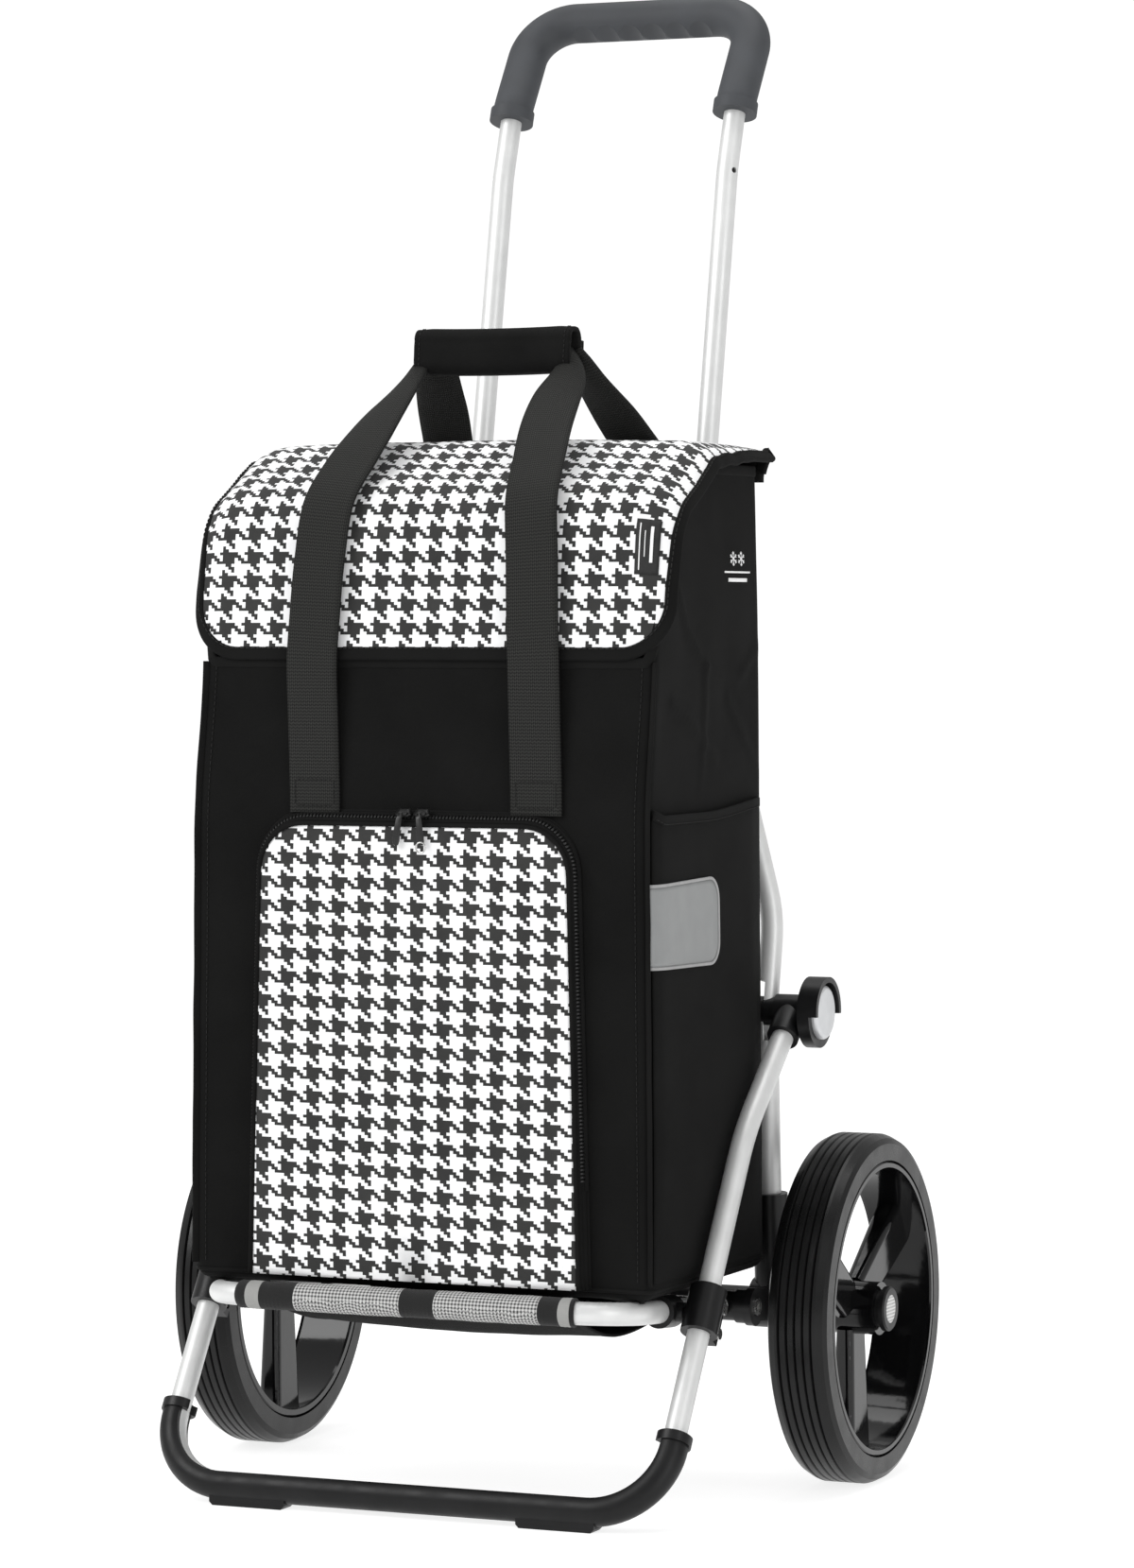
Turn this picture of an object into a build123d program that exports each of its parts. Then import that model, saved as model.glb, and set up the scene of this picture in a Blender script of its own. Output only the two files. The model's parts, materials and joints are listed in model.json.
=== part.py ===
"""Two-wheeled shopping trolley: aluminium tube frame, folding stand and platform, lift-off bag.

Millimetres. +X is the right side seen from the front, +Y is backwards, towards the handle, and
+Z is up. Everything is first placed with the wheel axle over y = 0, then the whole model is moved
so that its box is centred over the origin on the ground.
"""
from build123d import *
from math import atan2, cos, degrees, radians, sin
import os

# ---- driving dimensions -------------------------------------------------------------------
# wheels and axle
WHEEL_D = 250.0          # tyre diameter; also sets the axle height
WHEEL_X = 233.0          # middle of each tyre from the middle of the trolley
TYRE_W = 44.0
TYRE_H = 19.0            # tyre height over the rim
RIM_T = 3.2              # wall of the rim's barrel
SPOKES = 3
SPOKE_W = 30.0
SPOKE_T = 13.0
HUB_R = 19.0
AXLE_D = 12.0
AXLE_TUBE_D = 22.0
TREAD_GROOVES = 5
TREAD_GROOVE_W = 2.2
TREAD_GROOVE_DEEP = 1.6
BUSH_WALL = 2.5
BUTTON_R = 13.0
BUTTON_TRAVEL = 3.0
SPRING_WIRE = 0.9

# tubes
TUBE_D = 16.0
TUBE_WALL = 1.5
LEG_X = 169.0            # rear legs and the foot of the handle bow
SIDE_X = 160.0           # side tubes of the platform
GRIP_X = 91.0            # handle bow above the bag

# main side hinge, where handle, rear leg and stand meet
HINGE_Y = -12.0
HINGE_Z = 337.0
HINGE_BARREL_R = 10.5
HINGE_BOLT_D = 8.0
NOTCH_R = 22.0           # the two tube ends are cut to half thickness inside this radius
KNOB_R = 25.5
KNOB_DISC_R = 19.5

# front stand
FOOT_Y = -268.0
FOOT_Z = 14.0
KNEE_Y = -106.5
KNEE_Z = 258.5
KNEE_BEND_R = 150.0
FOOT_CORNER_R = 50.0
FOOT_COVER_R = 11.0
FOOT_PAD_X = 117.0
FOOT_PAD_L = 58.0
SOCKET_L = 27.0          # stand tube socket, measured from the hinge
SOCKET_WALL = 3.5
TEE_GAP = 0.5            # between the stand's socket and the rear leg's tube
TEE_BARREL_PROUD = 0.9   # hinge barrel past the socket, all round
TEE_PROUD = 0.6          # barrel past the socket, on the knob's side

# folding platform
PLATFORM_PIVOT_Y = -70.0
PLATFORM_PIVOT_Z = 131.0
PLATFORM_FRONT_Y = -262.0
PLATFORM_FRONT_Z = 147.0
PLATFORM_CORNER_R = 42.0
PIVOT_ROD_D = 10.0
COVER_HALF_L = 117.0     # textile sleeve on the platform's front bar
COVER_T = 1.6
SLING_T = 1.6
SLING_SAG = 20.0
SLEEVE_UP = 153.4        # from the foot bar up along the leg to the middle of the sleeve
SLEEVE_L = 34.0
SLEEVE_R = 13.0
STAND_FOLD_DEG = 17.0

# handle bow
HANDLE_LEAN_Y = 106.0    # side point where the bow starts to lean more
HANDLE_LEAN_Z = 951.0
HANDLE_FLARE_Z = 405.0   # the bow runs straight up to here, then narrows
HANDLE_NARROW_Z = 640.0
GRIP_TOP_Y = 170.0
GRIP_TOP_Z = 1073.0
GRIP_CORNER_R = 34.0
GRIP_R = 15.0
GRIP_COLLAR_Y = 124.0
GRIP_COLLAR_Z = 1004.0
GRIP_WAVES = 6
WAVE_R = 13.0
WAVE_DEEP = 3.5

# bag
BAG_HALF_W = 169.0
BAG_FRONT_Y = -243.0
BAG_REAR_Y = -24.0
BAG_MOUTH_Z = 727.0
FABRIC_T = 3.0
BOARD_T = 4.0
POCKET_HALF_W = 124.0
POCKET_BOTTOM_Z = 162.0
POCKET_TOP_Z = 478.0
POCKET_DEEP = 12.0
POCKET_CORNER_R = 40.0
SIDE_POCKET_TOP_Z = 486.0
SIDE_POCKET_DEEP = 5.0
SIDE_POCKET_T = 2.0
REFLECTOR_Z = 382.0
REFLECTOR_H = 54.0
REFLECTOR_L = 108.0
FLAP_T = 3.0
FLAP_HALF_W = 179.0
FLAP_LOW_Z = 591.0
FLAP_CORNER_R = 40.0
STRAP_W = 38.0
STRAP_T = 2.4
STRAP_X = 84.0
WRAP_HALF_L = 61.0
WRAP_H = 35.0
WRAP_D = 30.0
WRAP_T = 4.0
WRAP_Y = -107.0
WRAP_Z = 810.0

# clearances
RUN = 0.1                # a shaft in its hole, on the radius
SLIDE = 0.4              # faces of different bodies
SEAT = 0.3               # soft goods resting on something

TUBE_R = TUBE_D / 2
AXLE_Z = WHEEL_D / 2
SOCKET_R = TUBE_R + SOCKET_WALL
TEE_BARREL_R = SOCKET_R + TEE_BARREL_PROUD
BOW_X = LEG_X + TUBE_R + TEE_GAP + SOCKET_R    # legs of the front stand
A = Vector(0, HINGE_Y, HINGE_Z)
C = Vector(0, PLATFORM_PIVOT_Y, PLATFORM_PIVOT_Z)
AXLE = Vector(0, 0, AXLE_Z)
FOOT = Vector(0, FOOT_Y, FOOT_Z)
KNEE = Vector(0, KNEE_Y, KNEE_Z)
SIDES = {"left": -1, "right": 1}
TEE_OUT = BOW_X + SOCKET_R + TEE_PROUD

parts = {}


# ---- helpers ------------------------------------------------------------------------------
def put(name, shape):
    """File a finished piece under its node name."""
    parts[name] = shape


def side(x, point):
    """A point of the side view, moved out to x."""
    return Vector(x, point.Y, point.Z)


def rod(start, end, radius):
    """A solid round bar from start to end."""
    axis = end - start
    return Solid.make_cylinder(radius, axis.length, Plane(origin=start, z_dir=axis))


def cross_rod(x0, x1, point, radius):
    """A round bar along X, from x0 to x1 through a point of the side view."""
    low, high = sorted((x0, x1))
    return rod(side(low, point), side(high, point), radius)


def pipe(path, radius, wall):
    """A tube of the given outer radius along a path."""
    start = Plane(origin=path @ 0, z_dir=path % 0)
    ring = start * (Circle(radius) - Circle(radius - wall))
    return sweep(ring, path=path, transition=Transition.ROUND)


def block(x0, x1, y0, y1, z0, z1):
    """A box between two corners, given in any order."""
    size = (abs(x1 - x0), abs(y1 - y0), abs(z1 - z0))
    centre = Pos((x0 + x1) / 2, (y0 + y1) / 2, (z0 + z1) / 2)
    return centre * Box(*size)


def side_plate(points, x0, x1):
    """A plate cut to an outline of the side view, from x0 to x1."""
    low, high = sorted((x0, x1))
    outline = make_face(Polyline(*[side(low, p) for p in points], close=True))
    return extrude(outline, amount=high - low, dir=(1, 0, 0))


def turned(profile, x_sign):
    """Revolve a profile of (x, radius) points about the axle line; x is mirrored for the left."""
    points = [Vector(x_sign * x, 0, AXLE_Z + r) for x, r in profile]
    return revolve(make_face(Polyline(*points, close=True)), Axis((0, 0, AXLE_Z), (1, 0, 0)), 360)


def toward(a, b):
    """Unit vector from a to b."""
    return (b - a).normalized()


# ---- wheels -------------------------------------------------------------------------------
def make_wheel(name, s):
    inner = WHEEL_X - TYRE_W / 2
    outer = WHEEL_X + TYRE_W / 2
    rim_r = WHEEL_D / 2 - TYRE_H
    shoulder = 7.0
    tyre_profile = [(inner, rim_r), (inner, WHEEL_D / 2 - shoulder), (inner + 2, WHEEL_D / 2 - 3.2),
                    (inner + shoulder, WHEEL_D / 2 - 0.6)]
    pitch = (TYRE_W - 2 * shoulder) / TREAD_GROOVES
    for i in range(TREAD_GROOVES):
        middle = inner + shoulder + pitch * (i + 0.5)
        tyre_profile += [(middle - TREAD_GROOVE_W / 2, WHEEL_D / 2),
                         (middle, WHEEL_D / 2 - TREAD_GROOVE_DEEP),
                         (middle + TREAD_GROOVE_W / 2, WHEEL_D / 2)]
    tyre_profile += [(outer - shoulder, WHEEL_D / 2 - 0.6), (outer - 2, WHEEL_D / 2 - 3.2),
                     (outer, WHEEL_D / 2 - shoulder), (outer, rim_r)]
    put(f"tyre_{name}", turned(tyre_profile, s))

    lip = 2.0
    barrel = turned([(inner + lip, rim_r), (outer - lip, rim_r), (outer, rim_r - 2), (outer, rim_r - 5),
                     (outer - lip, rim_r - RIM_T - 1), (inner + lip, rim_r - RIM_T - 3),
                     (inner, rim_r - 6), (inner, rim_r - 2)], s)
    hub_in = inner - 2
    hub_out = outer - 3
    hub = cross_rod(s * hub_in, s * hub_out, AXLE, HUB_R)
    spoke_x = WHEEL_X - 4
    wheel = barrel + hub
    for i in range(SPOKES):
        angle = radians(-90 + 360 / SPOKES * i)
        out = Vector(0, cos(angle), sin(angle))
        start = side(s * spoke_x, AXLE) + out * (HUB_R - 4)
        end = side(s * spoke_x, AXLE) + out * (rim_r - RIM_T - 1)
        plane = Plane(origin=start, x_dir=(1, 0, 0), z_dir=out)
        far = Plane(origin=end, x_dir=(1, 0, 0), z_dir=out)
        root = plane * RectangleRounded(SPOKE_T, SPOKE_W, 5)
        tip = far * RectangleRounded(SPOKE_T + 5, SPOKE_W + 8, 5)
        wheel += loft([root, tip])
    bush_r = AXLE_D / 2 + RUN + BUSH_WALL
    cup_x = outer - 15
    wheel -= cross_rod(s * (hub_in - 1), s * (hub_out + 1), AXLE, bush_r)
    wheel -= cross_rod(s * cup_x, s * (hub_out + 1), AXLE, BUTTON_R + SLIDE)
    put(f"rim_{name}", wheel)

    bush_l = 12.0
    bushes = []
    for start in (hub_in, cup_x - bush_l):
        ring = cross_rod(s * start, s * (start + bush_l), AXLE, bush_r)
        bushes.append(ring - cross_rod(s * (start - 1), s * (start + bush_l + 1), AXLE, AXLE_D / 2 + RUN))
    put(f"wheel_bushes_{name}", Compound(children=bushes))

    cap_x = outer + 5
    skirt = cross_rod(s * (cup_x + 6), s * cap_x, AXLE, BUTTON_R)
    skirt += cross_rod(s * (hub_out + BUTTON_TRAVEL + SLIDE), s * cap_x, AXLE, BUTTON_R + 3)
    skirt = chamfer(skirt.edges().filter_by(GeomType.CIRCLE).sort_by(Axis.X)[-1 if s > 0 else 0], 1.2)
    skirt -= cross_rod(s * (cup_x + 5), s * (cap_x - 6), AXLE, BUTTON_R - 3)
    skirt -= cross_rod(s * (cap_x - 1.5), s * (cap_x + 1), AXLE, BUTTON_R - 3)
    put(f"hub_button_{name}", skirt)
    put(f"button_disc_{name}", cross_rod(s * (cap_x - 1.5), s * (cap_x - 0.2), AXLE, BUTTON_R - 3))

    coil_r = BUTTON_R - 5
    coil = [cross_rod(s * x, s * (x + 1.4), AXLE, coil_r) - cross_rod(s * (x - 1), s * (x + 3), AXLE,
            coil_r - SPRING_WIRE * 1.6) for x in (cup_x, cap_x - 6 - 1.4)]
    wave = cross_rod(s * (cup_x + 1.4), s * (cap_x - 7.4), AXLE, coil_r - 0.2)
    wave -= cross_rod(s * cup_x, s * cap_x, AXLE, coil_r - 0.2 - SPRING_WIRE)
    put(f"button_spring_{name}", coil[0] + wave + coil[1])
    return cap_x


# ---- rear frame ---------------------------------------------------------------------------
def make_rear_frame():
    inner = WHEEL_X - TYRE_W / 2
    cup_x = WHEEL_X + TYRE_W / 2 - 15
    bracket_in = LEG_X - 13
    bracket_out = LEG_X + 14
    put("axle_rod", cross_rod(-cup_x - 2, cup_x + 2, AXLE, AXLE_D / 2))
    tube = cross_rod(-(inner - 4), inner - 4, AXLE, AXLE_TUBE_D / 2)
    put("axle_tube", tube - cross_rod(-inner, inner, AXLE, AXLE_D / 2 + RUN))
    up = toward(AXLE, A)
    leg_low = 17.0
    arm_x = SIDE_X + TUBE_R + 2
    arm_t = 8.0
    cap_x = arm_x + arm_t
    rod_end = cap_x + 3
    caps = []
    screws = []
    barrels = []
    bolts = []
    for name, s in SIDES.items():
        leg_line = side(s * LEG_X, AXLE)
        leg_top = side(s * LEG_X, A)
        leg = rod(leg_line + up * leg_low, leg_top, TUBE_R) - rod(leg_line, leg_top + up, TUBE_R - TUBE_WALL)
        leg -= cross_rod(s * (LEG_X - SLIDE / 2), s * (LEG_X + 20), A, NOTCH_R)
        leg -= cross_rod(s * (LEG_X - 20), s * (LEG_X + 20), A, HINGE_BARREL_R)
        put(f"rear_leg_{name}", leg)

        barrel = cross_rod(s * (LEG_X - 11), s * (LEG_X - SLIDE / 2), A, HINGE_BARREL_R)
        barrels.append(barrel - cross_rod(s * (LEG_X - 12), s * LEG_X, A, HINGE_BOLT_D / 2 + RUN))

        bracket = cross_rod(s * bracket_in, s * bracket_out, AXLE, 18.0)
        bracket += rod(leg_line, leg_line + up * 80, 12.5)
        arm = side_plate([Vector(0, 10, AXLE_Z + 12), Vector(0, PLATFORM_PIVOT_Y, PLATFORM_PIVOT_Z + 11),
                          Vector(0, PLATFORM_PIVOT_Y, PLATFORM_PIVOT_Z - 11), Vector(0, 10, AXLE_Z - 12)],
                         s * arm_x, s * (arm_x + arm_t))
        bracket += arm
        bracket += cross_rod(s * arm_x, s * (arm_x + arm_t), C, 12.0)
        bracket -= cross_rod(s * (bracket_in - 1), s * (bracket_out + 1), AXLE, AXLE_TUBE_D / 2)
        bracket -= rod(leg_line + up * leg_low, leg_line + up * 90, TUBE_R)
        bracket -= cross_rod(s * (arm_x - 1), s * (arm_x + arm_t + 1), C, PIVOT_ROD_D / 2)
        put(f"axle_bracket_{name}", bracket)

        cap = cross_rod(s * cap_x, s * (cap_x + 6), C, 13.5)
        cap -= cross_rod(s * (cap_x - 1), s * rod_end, C, PIVOT_ROD_D / 2)
        cap -= cross_rod(s * cap_x, s * (cap_x + 7), C, 3.0)
        cap -= cross_rod(s * (cap_x + 5), s * (cap_x + 7), C, 6.5)
        caps.append(cap)
        head = cross_rod(s * (cap_x + 5), s * (cap_x + 7.5), C, 6.0)
        socket = Plane(origin=side(s * (cap_x + 6), C), x_dir=(0, 1, 0), z_dir=(s, 0, 0))
        head -= extrude(socket * RegularPolygon(2.9, 6), amount=3)
        head += cross_rod(s * rod_end, s * (cap_x + 5), C, 3.0)
        screws.append(head)

        knob_in = TEE_OUT + SLIDE
        bolt_in = LEG_X - 11
        bolt = cross_rod(s * bolt_in, s * (knob_in + 8), A, HINGE_BOLT_D / 2)
        hex_plane = Plane(origin=side(s * bolt_in, A), x_dir=(0, 1, 0), z_dir=(-s, 0, 0))
        bolt += extrude(hex_plane * RegularPolygon(7, 6), amount=5)
        bolts.append(bolt)
    put("hinge_bolts", Compound(children=bolts))
    put("hinge_barrels", Compound(children=barrels))
    put("pivot_caps", Compound(children=caps))
    put("pivot_screws", Compound(children=screws))
    put("pivot_rod", cross_rod(-rod_end, rod_end, C, PIVOT_ROD_D / 2))


# ---- handle bow ---------------------------------------------------------------------------
def handle_corners(s):
    """The bow's corner points on one side, from the hinge to the middle of the grip."""
    lean = Vector(0, HANDLE_LEAN_Y, HANDLE_LEAN_Z)
    rise = (lean - A) * (1 / (HANDLE_LEAN_Z - HINGE_Z))

    def on_line(x, z):
        return side(s * x, A + rise * (z - HINGE_Z))

    top = Vector(s * GRIP_X, GRIP_TOP_Y, GRIP_TOP_Z)
    collar = Vector(s * GRIP_X, GRIP_COLLAR_Y, GRIP_COLLAR_Z)
    return [on_line(LEG_X, HINGE_Z), on_line(LEG_X, HANDLE_FLARE_Z), on_line(GRIP_X, HANDLE_NARROW_Z),
            on_line(GRIP_X, HANDLE_LEAN_Z), collar, top]


def make_handle():
    right = handle_corners(1)
    left = handle_corners(-1)
    bend_r = [120, 120, 100, 60, GRIP_CORNER_R]
    path = FilletPolyline(*(right + left[::-1]), radius=bend_r + bend_r[::-1])
    bow = pipe(path, TUBE_R, TUBE_WALL)
    eyes = []
    for s in SIDES.values():
        bow -= cross_rod(s * (LEG_X - 20), s * (LEG_X + SLIDE / 2), A, NOTCH_R)
        bow -= cross_rod(s * (LEG_X - 20), s * (LEG_X + 20), A, HINGE_BARREL_R)
        hole = side(s * GRIP_X, right[3])
        bow -= rod(hole + Vector(s * 4, -2, 0), hole + Vector(s * 10, -5, 0), 2.2)
        eye = cross_rod(s * (LEG_X + SLIDE / 2), s * (LEG_X + TUBE_R), A, HINGE_BARREL_R)
        eyes.append(eye - cross_rod(s * LEG_X, s * (LEG_X + 10), A, HINGE_BOLT_D / 2 + RUN))
    put("handle_tube", bow)
    put("handle_eyes", Compound(children=eyes))

    collars = [right[4] - toward(right[3], right[4]) * 10, left[4] - toward(left[3], left[4]) * 10]
    corners = [collars[0], right[4], right[5], left[5], left[4], collars[1]]
    grip_path = FilletPolyline(*corners, radius=[60, GRIP_CORNER_R, GRIP_CORNER_R, 60])
    grip = sweep(Plane(origin=grip_path @ 0, z_dir=grip_path % 0) * Circle(GRIP_R), path=grip_path)
    for corner, start in ((right[4], collars[0]), (left[4], collars[1])):
        grip += rod(start, start + toward(start, corner) * 9, GRIP_R + 1.6)
    down = toward(right[5], right[4])
    across = down.cross(Vector(1, 0, 0))
    reach = GRIP_R + WAVE_R - WAVE_DEEP
    wave_span = 2 * (GRIP_X - GRIP_CORNER_R)
    for i in range(GRIP_WAVES):
        x = wave_span * ((i + 0.5) / GRIP_WAVES - 0.5)
        centre = side(x, right[5]) + down * reach
        grip -= rod(centre - across * 2 * GRIP_R, centre + across * 2 * GRIP_R, WAVE_R)
    bore = sweep(Plane(origin=path @ 0, z_dir=path % 0) * Circle(TUBE_R + RUN / 2), path=path)
    put("handle_grip", grip - bore)


# ---- front stand --------------------------------------------------------------------------
UP_LEG = toward(FOOT, KNEE)
FROM_HINGE = toward(A, KNEE)
SLEEVE_AT = FOOT + UP_LEG * SLEEVE_UP


def make_stand():
    start = A + FROM_HINGE * 9
    corners = [side(BOW_X, start), side(BOW_X, KNEE), side(BOW_X, FOOT),
               side(-BOW_X, FOOT), side(-BOW_X, KNEE), side(-BOW_X, start)]
    path = FilletPolyline(*corners, radius=[KNEE_BEND_R, FOOT_CORNER_R, FOOT_CORNER_R, KNEE_BEND_R])
    put("stand_bow", pipe(path, TUBE_R, TUBE_WALL))

    tees = []
    for s in SIDES.values():
        low = LEG_X + TUBE_R + SLIDE
        tee = cross_rod(s * low, s * TEE_OUT, A, TEE_BARREL_R)
        tee += rod(side(s * BOW_X, A), side(s * BOW_X, A + FROM_HINGE * SOCKET_L), SOCKET_R)
        tee -= rod(side(s * BOW_X, start), side(s * BOW_X, A + FROM_HINGE * 40), TUBE_R)
        tee -= cross_rod(s * (low - 1), s * (BOW_X + 20), A, HINGE_BOLT_D / 2 + RUN)
        tees.append(tee)
    put("stand_tees", Compound(children=tees))

    cover_up = FOOT + UP_LEG * (FOOT_CORNER_R + 2)
    cover_path = FilletPolyline(side(BOW_X, cover_up), side(BOW_X, FOOT), side(-BOW_X, FOOT),
                                side(-BOW_X, cover_up), radius=FOOT_CORNER_R)
    outer = Plane(origin=cover_path @ 0, x_dir=(1, 0, 0), z_dir=cover_path % 0)
    ring = Circle(FOOT_COVER_R) - Circle(TUBE_R + RUN) - Pos(-FOOT_COVER_R, 0) * Rectangle(FOOT_COVER_R, 40)
    cover = sweep(outer * ring, path=cover_path)
    for s in SIDES.values():
        pad = block(s * (FOOT_PAD_X - FOOT_PAD_L / 2), s * (FOOT_PAD_X + FOOT_PAD_L / 2),
                    FOOT_Y - 8, FOOT_Y + 8, 0, FOOT_Z)
        pad = chamfer(pad.faces().sort_by(Axis.Z)[0].edges().filter_by(Axis.Y), 2.5)
        cover += pad - cross_rod(-BOW_X, BOW_X, FOOT, TUBE_R + RUN)
    put("foot_cover", cover)

    clips = []
    for s in SIDES.values():
        low = side(s * BOW_X, FOOT + UP_LEG * (FOOT_CORNER_R + 2))
        clip = rod(low, low + UP_LEG * 7, FOOT_COVER_R + 1.5)
        shift = Vector(-s * (FOOT_COVER_R + 5), 0, 0)
        clip -= rod(low, low + UP_LEG * 8, TUBE_R)
        clip -= rod(low + shift, low + shift + UP_LEG * 8, 8.5)
        clips.append(clip)
    put("foot_clips", Compound(children=clips))


# ---- platform and its sleeves ----------------------------------------------------------------
PLATFORM_FRONT = Vector(0, PLATFORM_FRONT_Y, PLATFORM_FRONT_Z)
ALONG = toward(C, PLATFORM_FRONT)


def make_platform():
    tube_start = 15.0
    rear = C + ALONG * tube_start
    corners = [side(SIDE_X, rear), side(SIDE_X, PLATFORM_FRONT),
               side(-SIDE_X, PLATFORM_FRONT), side(-SIDE_X, rear)]
    path = FilletPolyline(*corners, radius=PLATFORM_CORNER_R)
    put("platform_tube", pipe(path, TUBE_R, TUBE_WALL))

    eyes = []
    lugs = []
    along_at_sleeve = C + ALONG * ((SLEEVE_AT - C).dot(ALONG))
    for s in SIDES.values():
        eye = cross_rod(s * (SIDE_X - 8), s * (SIDE_X + TUBE_R + 2 - SLIDE), C, 10.5)
        eye += rod(side(s * SIDE_X, C), side(s * SIDE_X, rear), TUBE_R)
        eye += rod(side(s * SIDE_X, C), side(s * SIDE_X, rear + ALONG * 20), TUBE_R - TUBE_WALL)
        eyes.append(eye - cross_rod(s * (SIDE_X - 20), s * (SIDE_X + 20), C, PIVOT_ROD_D / 2 + RUN))
        middle = side(s * SIDE_X, along_at_sleeve)
        lug = rod(middle - ALONG * 11, middle + ALONG * 11, 11.5)
        lug += cross_rod(s * SIDE_X, s * (BOW_X - SLEEVE_R - SLIDE), along_at_sleeve, 7)
        lugs.append(lug - rod(middle - ALONG * 12, middle + ALONG * 12, TUBE_R))
    put("platform_eyes", Compound(children=eyes))
    put("platform_lugs", Compound(children=lugs))

    cover = cross_rod(-COVER_HALF_L, COVER_HALF_L, PLATFORM_FRONT, TUBE_R + COVER_T)
    cover -= cross_rod(-COVER_HALF_L - 1, COVER_HALF_L + 1, PLATFORM_FRONT, TUBE_R)
    put("platform_cover", cover)

    loop_r = PIVOT_ROD_D / 2 + SLIDE
    back = C + Vector(0, -loop_r - SLING_T / 2, 0)
    front = PLATFORM_FRONT + Vector(0, TUBE_R + COVER_T + SEAT, -2)
    middle = (back + front) * 0.5 - Vector(0, 0, SLING_SAG)
    edge_x = -COVER_HALF_L
    lift = Vector(0, 0, SLING_T)
    top = ThreePointArc(side(edge_x, back), side(edge_x, middle), side(edge_x, front))
    low = ThreePointArc(side(edge_x, back - lift), side(edge_x, middle - lift), side(edge_x, front - lift))
    ends = [Line(top @ 0, low @ 0), Line(top @ 1, low @ 1)]
    sheet = make_face(Wire([top.edge(), ends[1].edge(), low.edge(), ends[0].edge()]))
    sling = extrude(sheet, amount=2 * COVER_HALF_L, dir=(1, 0, 0))
    sling += cross_rod(-COVER_HALF_L, COVER_HALF_L, C, loop_r + SLING_T)
    sling -= cross_rod(-COVER_HALF_L - 1, COVER_HALF_L + 1, C, loop_r)
    put("platform_sling", sling)


def make_sleeves():
    behind = UP_LEG.cross(Vector(1, 0, 0)).normalized()
    for name, s in SIDES.items():
        low = side(s * BOW_X, SLEEVE_AT) - UP_LEG * (SLEEVE_L / 2)
        plane = Plane(origin=low, x_dir=(1, 0, 0), z_dir=UP_LEG)
        ear = Pos(0, 13) * Rectangle(14, 12)
        sleeve = extrude(plane * (Circle(SLEEVE_R) + ear - Circle(TUBE_R + SLIDE)), amount=SLEEVE_L)
        screws = []
        for part_way in (0.22, 0.78):
            at = low + UP_LEG * (SLEEVE_L * part_way) + behind * 15
            head_x = s * (BOW_X + 7)
            sleeve -= cross_rod(s * (BOW_X - 20), s * (BOW_X + 20), at, 2.5)
            shaft = cross_rod(s * (BOW_X - 6), head_x, at, 2.5)
            screws.append(shaft + cross_rod(head_x, head_x + s * 2.5, at, 3.9))
        put(f"sleeve_{name}", sleeve)
        put(f"sleeve_screws_{name}", Compound(children=screws))


def make_knob(name, s):
    back = TEE_OUT + SLIDE
    face = back + 9
    knob = cross_rod(s * back, s * face, A, KNOB_R)
    visor = cross_rod(s * face, s * (face + 6), A, KNOB_R) - cross_rod(s * face, s * (face + 7), A, KNOB_R - 4)
    visor -= block(s * (face - 1), s * (face + 9), HINGE_Y - 40, HINGE_Y + 40, HINGE_Z - 40, HINGE_Z - 2)
    knob += visor
    knob -= cross_rod(s * (back - 1), s * (back + 8), A, HINGE_BOLT_D / 2 + RUN)
    put(f"knob_{name}", knob)
    disc = cross_rod(s * face, s * (face + 4.5), A, KNOB_DISC_R)
    rim = disc.edges().filter_by(GeomType.CIRCLE).sort_by(Axis.X)[-1 if s > 0 else 0]
    put(f"knob_disc_{name}", fillet(rim, 3.2))


# ---- bag ----------------------------------------------------------------------------------
def tube_top(y):
    """Height of the top of the platform's side tubes at y."""
    run = (y - PLATFORM_PIVOT_Y) / (PLATFORM_FRONT_Y - PLATFORM_PIVOT_Y)
    return PLATFORM_PIVOT_Z + run * (PLATFORM_FRONT_Z - PLATFORM_PIVOT_Z) + TUBE_R / ALONG.dot(Vector(0, -1, 0))


BAG_BOTTOM_Z = tube_top(BAG_FRONT_Y) + SEAT
FLAP_GAP = FLAP_T / 2 + SEAT
FLAP_LINE = [Vector(0, BAG_REAR_Y + FLAP_GAP, 716), Vector(0, BAG_REAR_Y + FLAP_GAP, 740),
             Vector(0, -150, 740), Vector(0, -232, 698), Vector(0, BAG_FRONT_Y - FLAP_GAP, FLAP_LOW_Z)]
SEAM = 0.02              # panels stop this far apart at their shared edges


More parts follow.
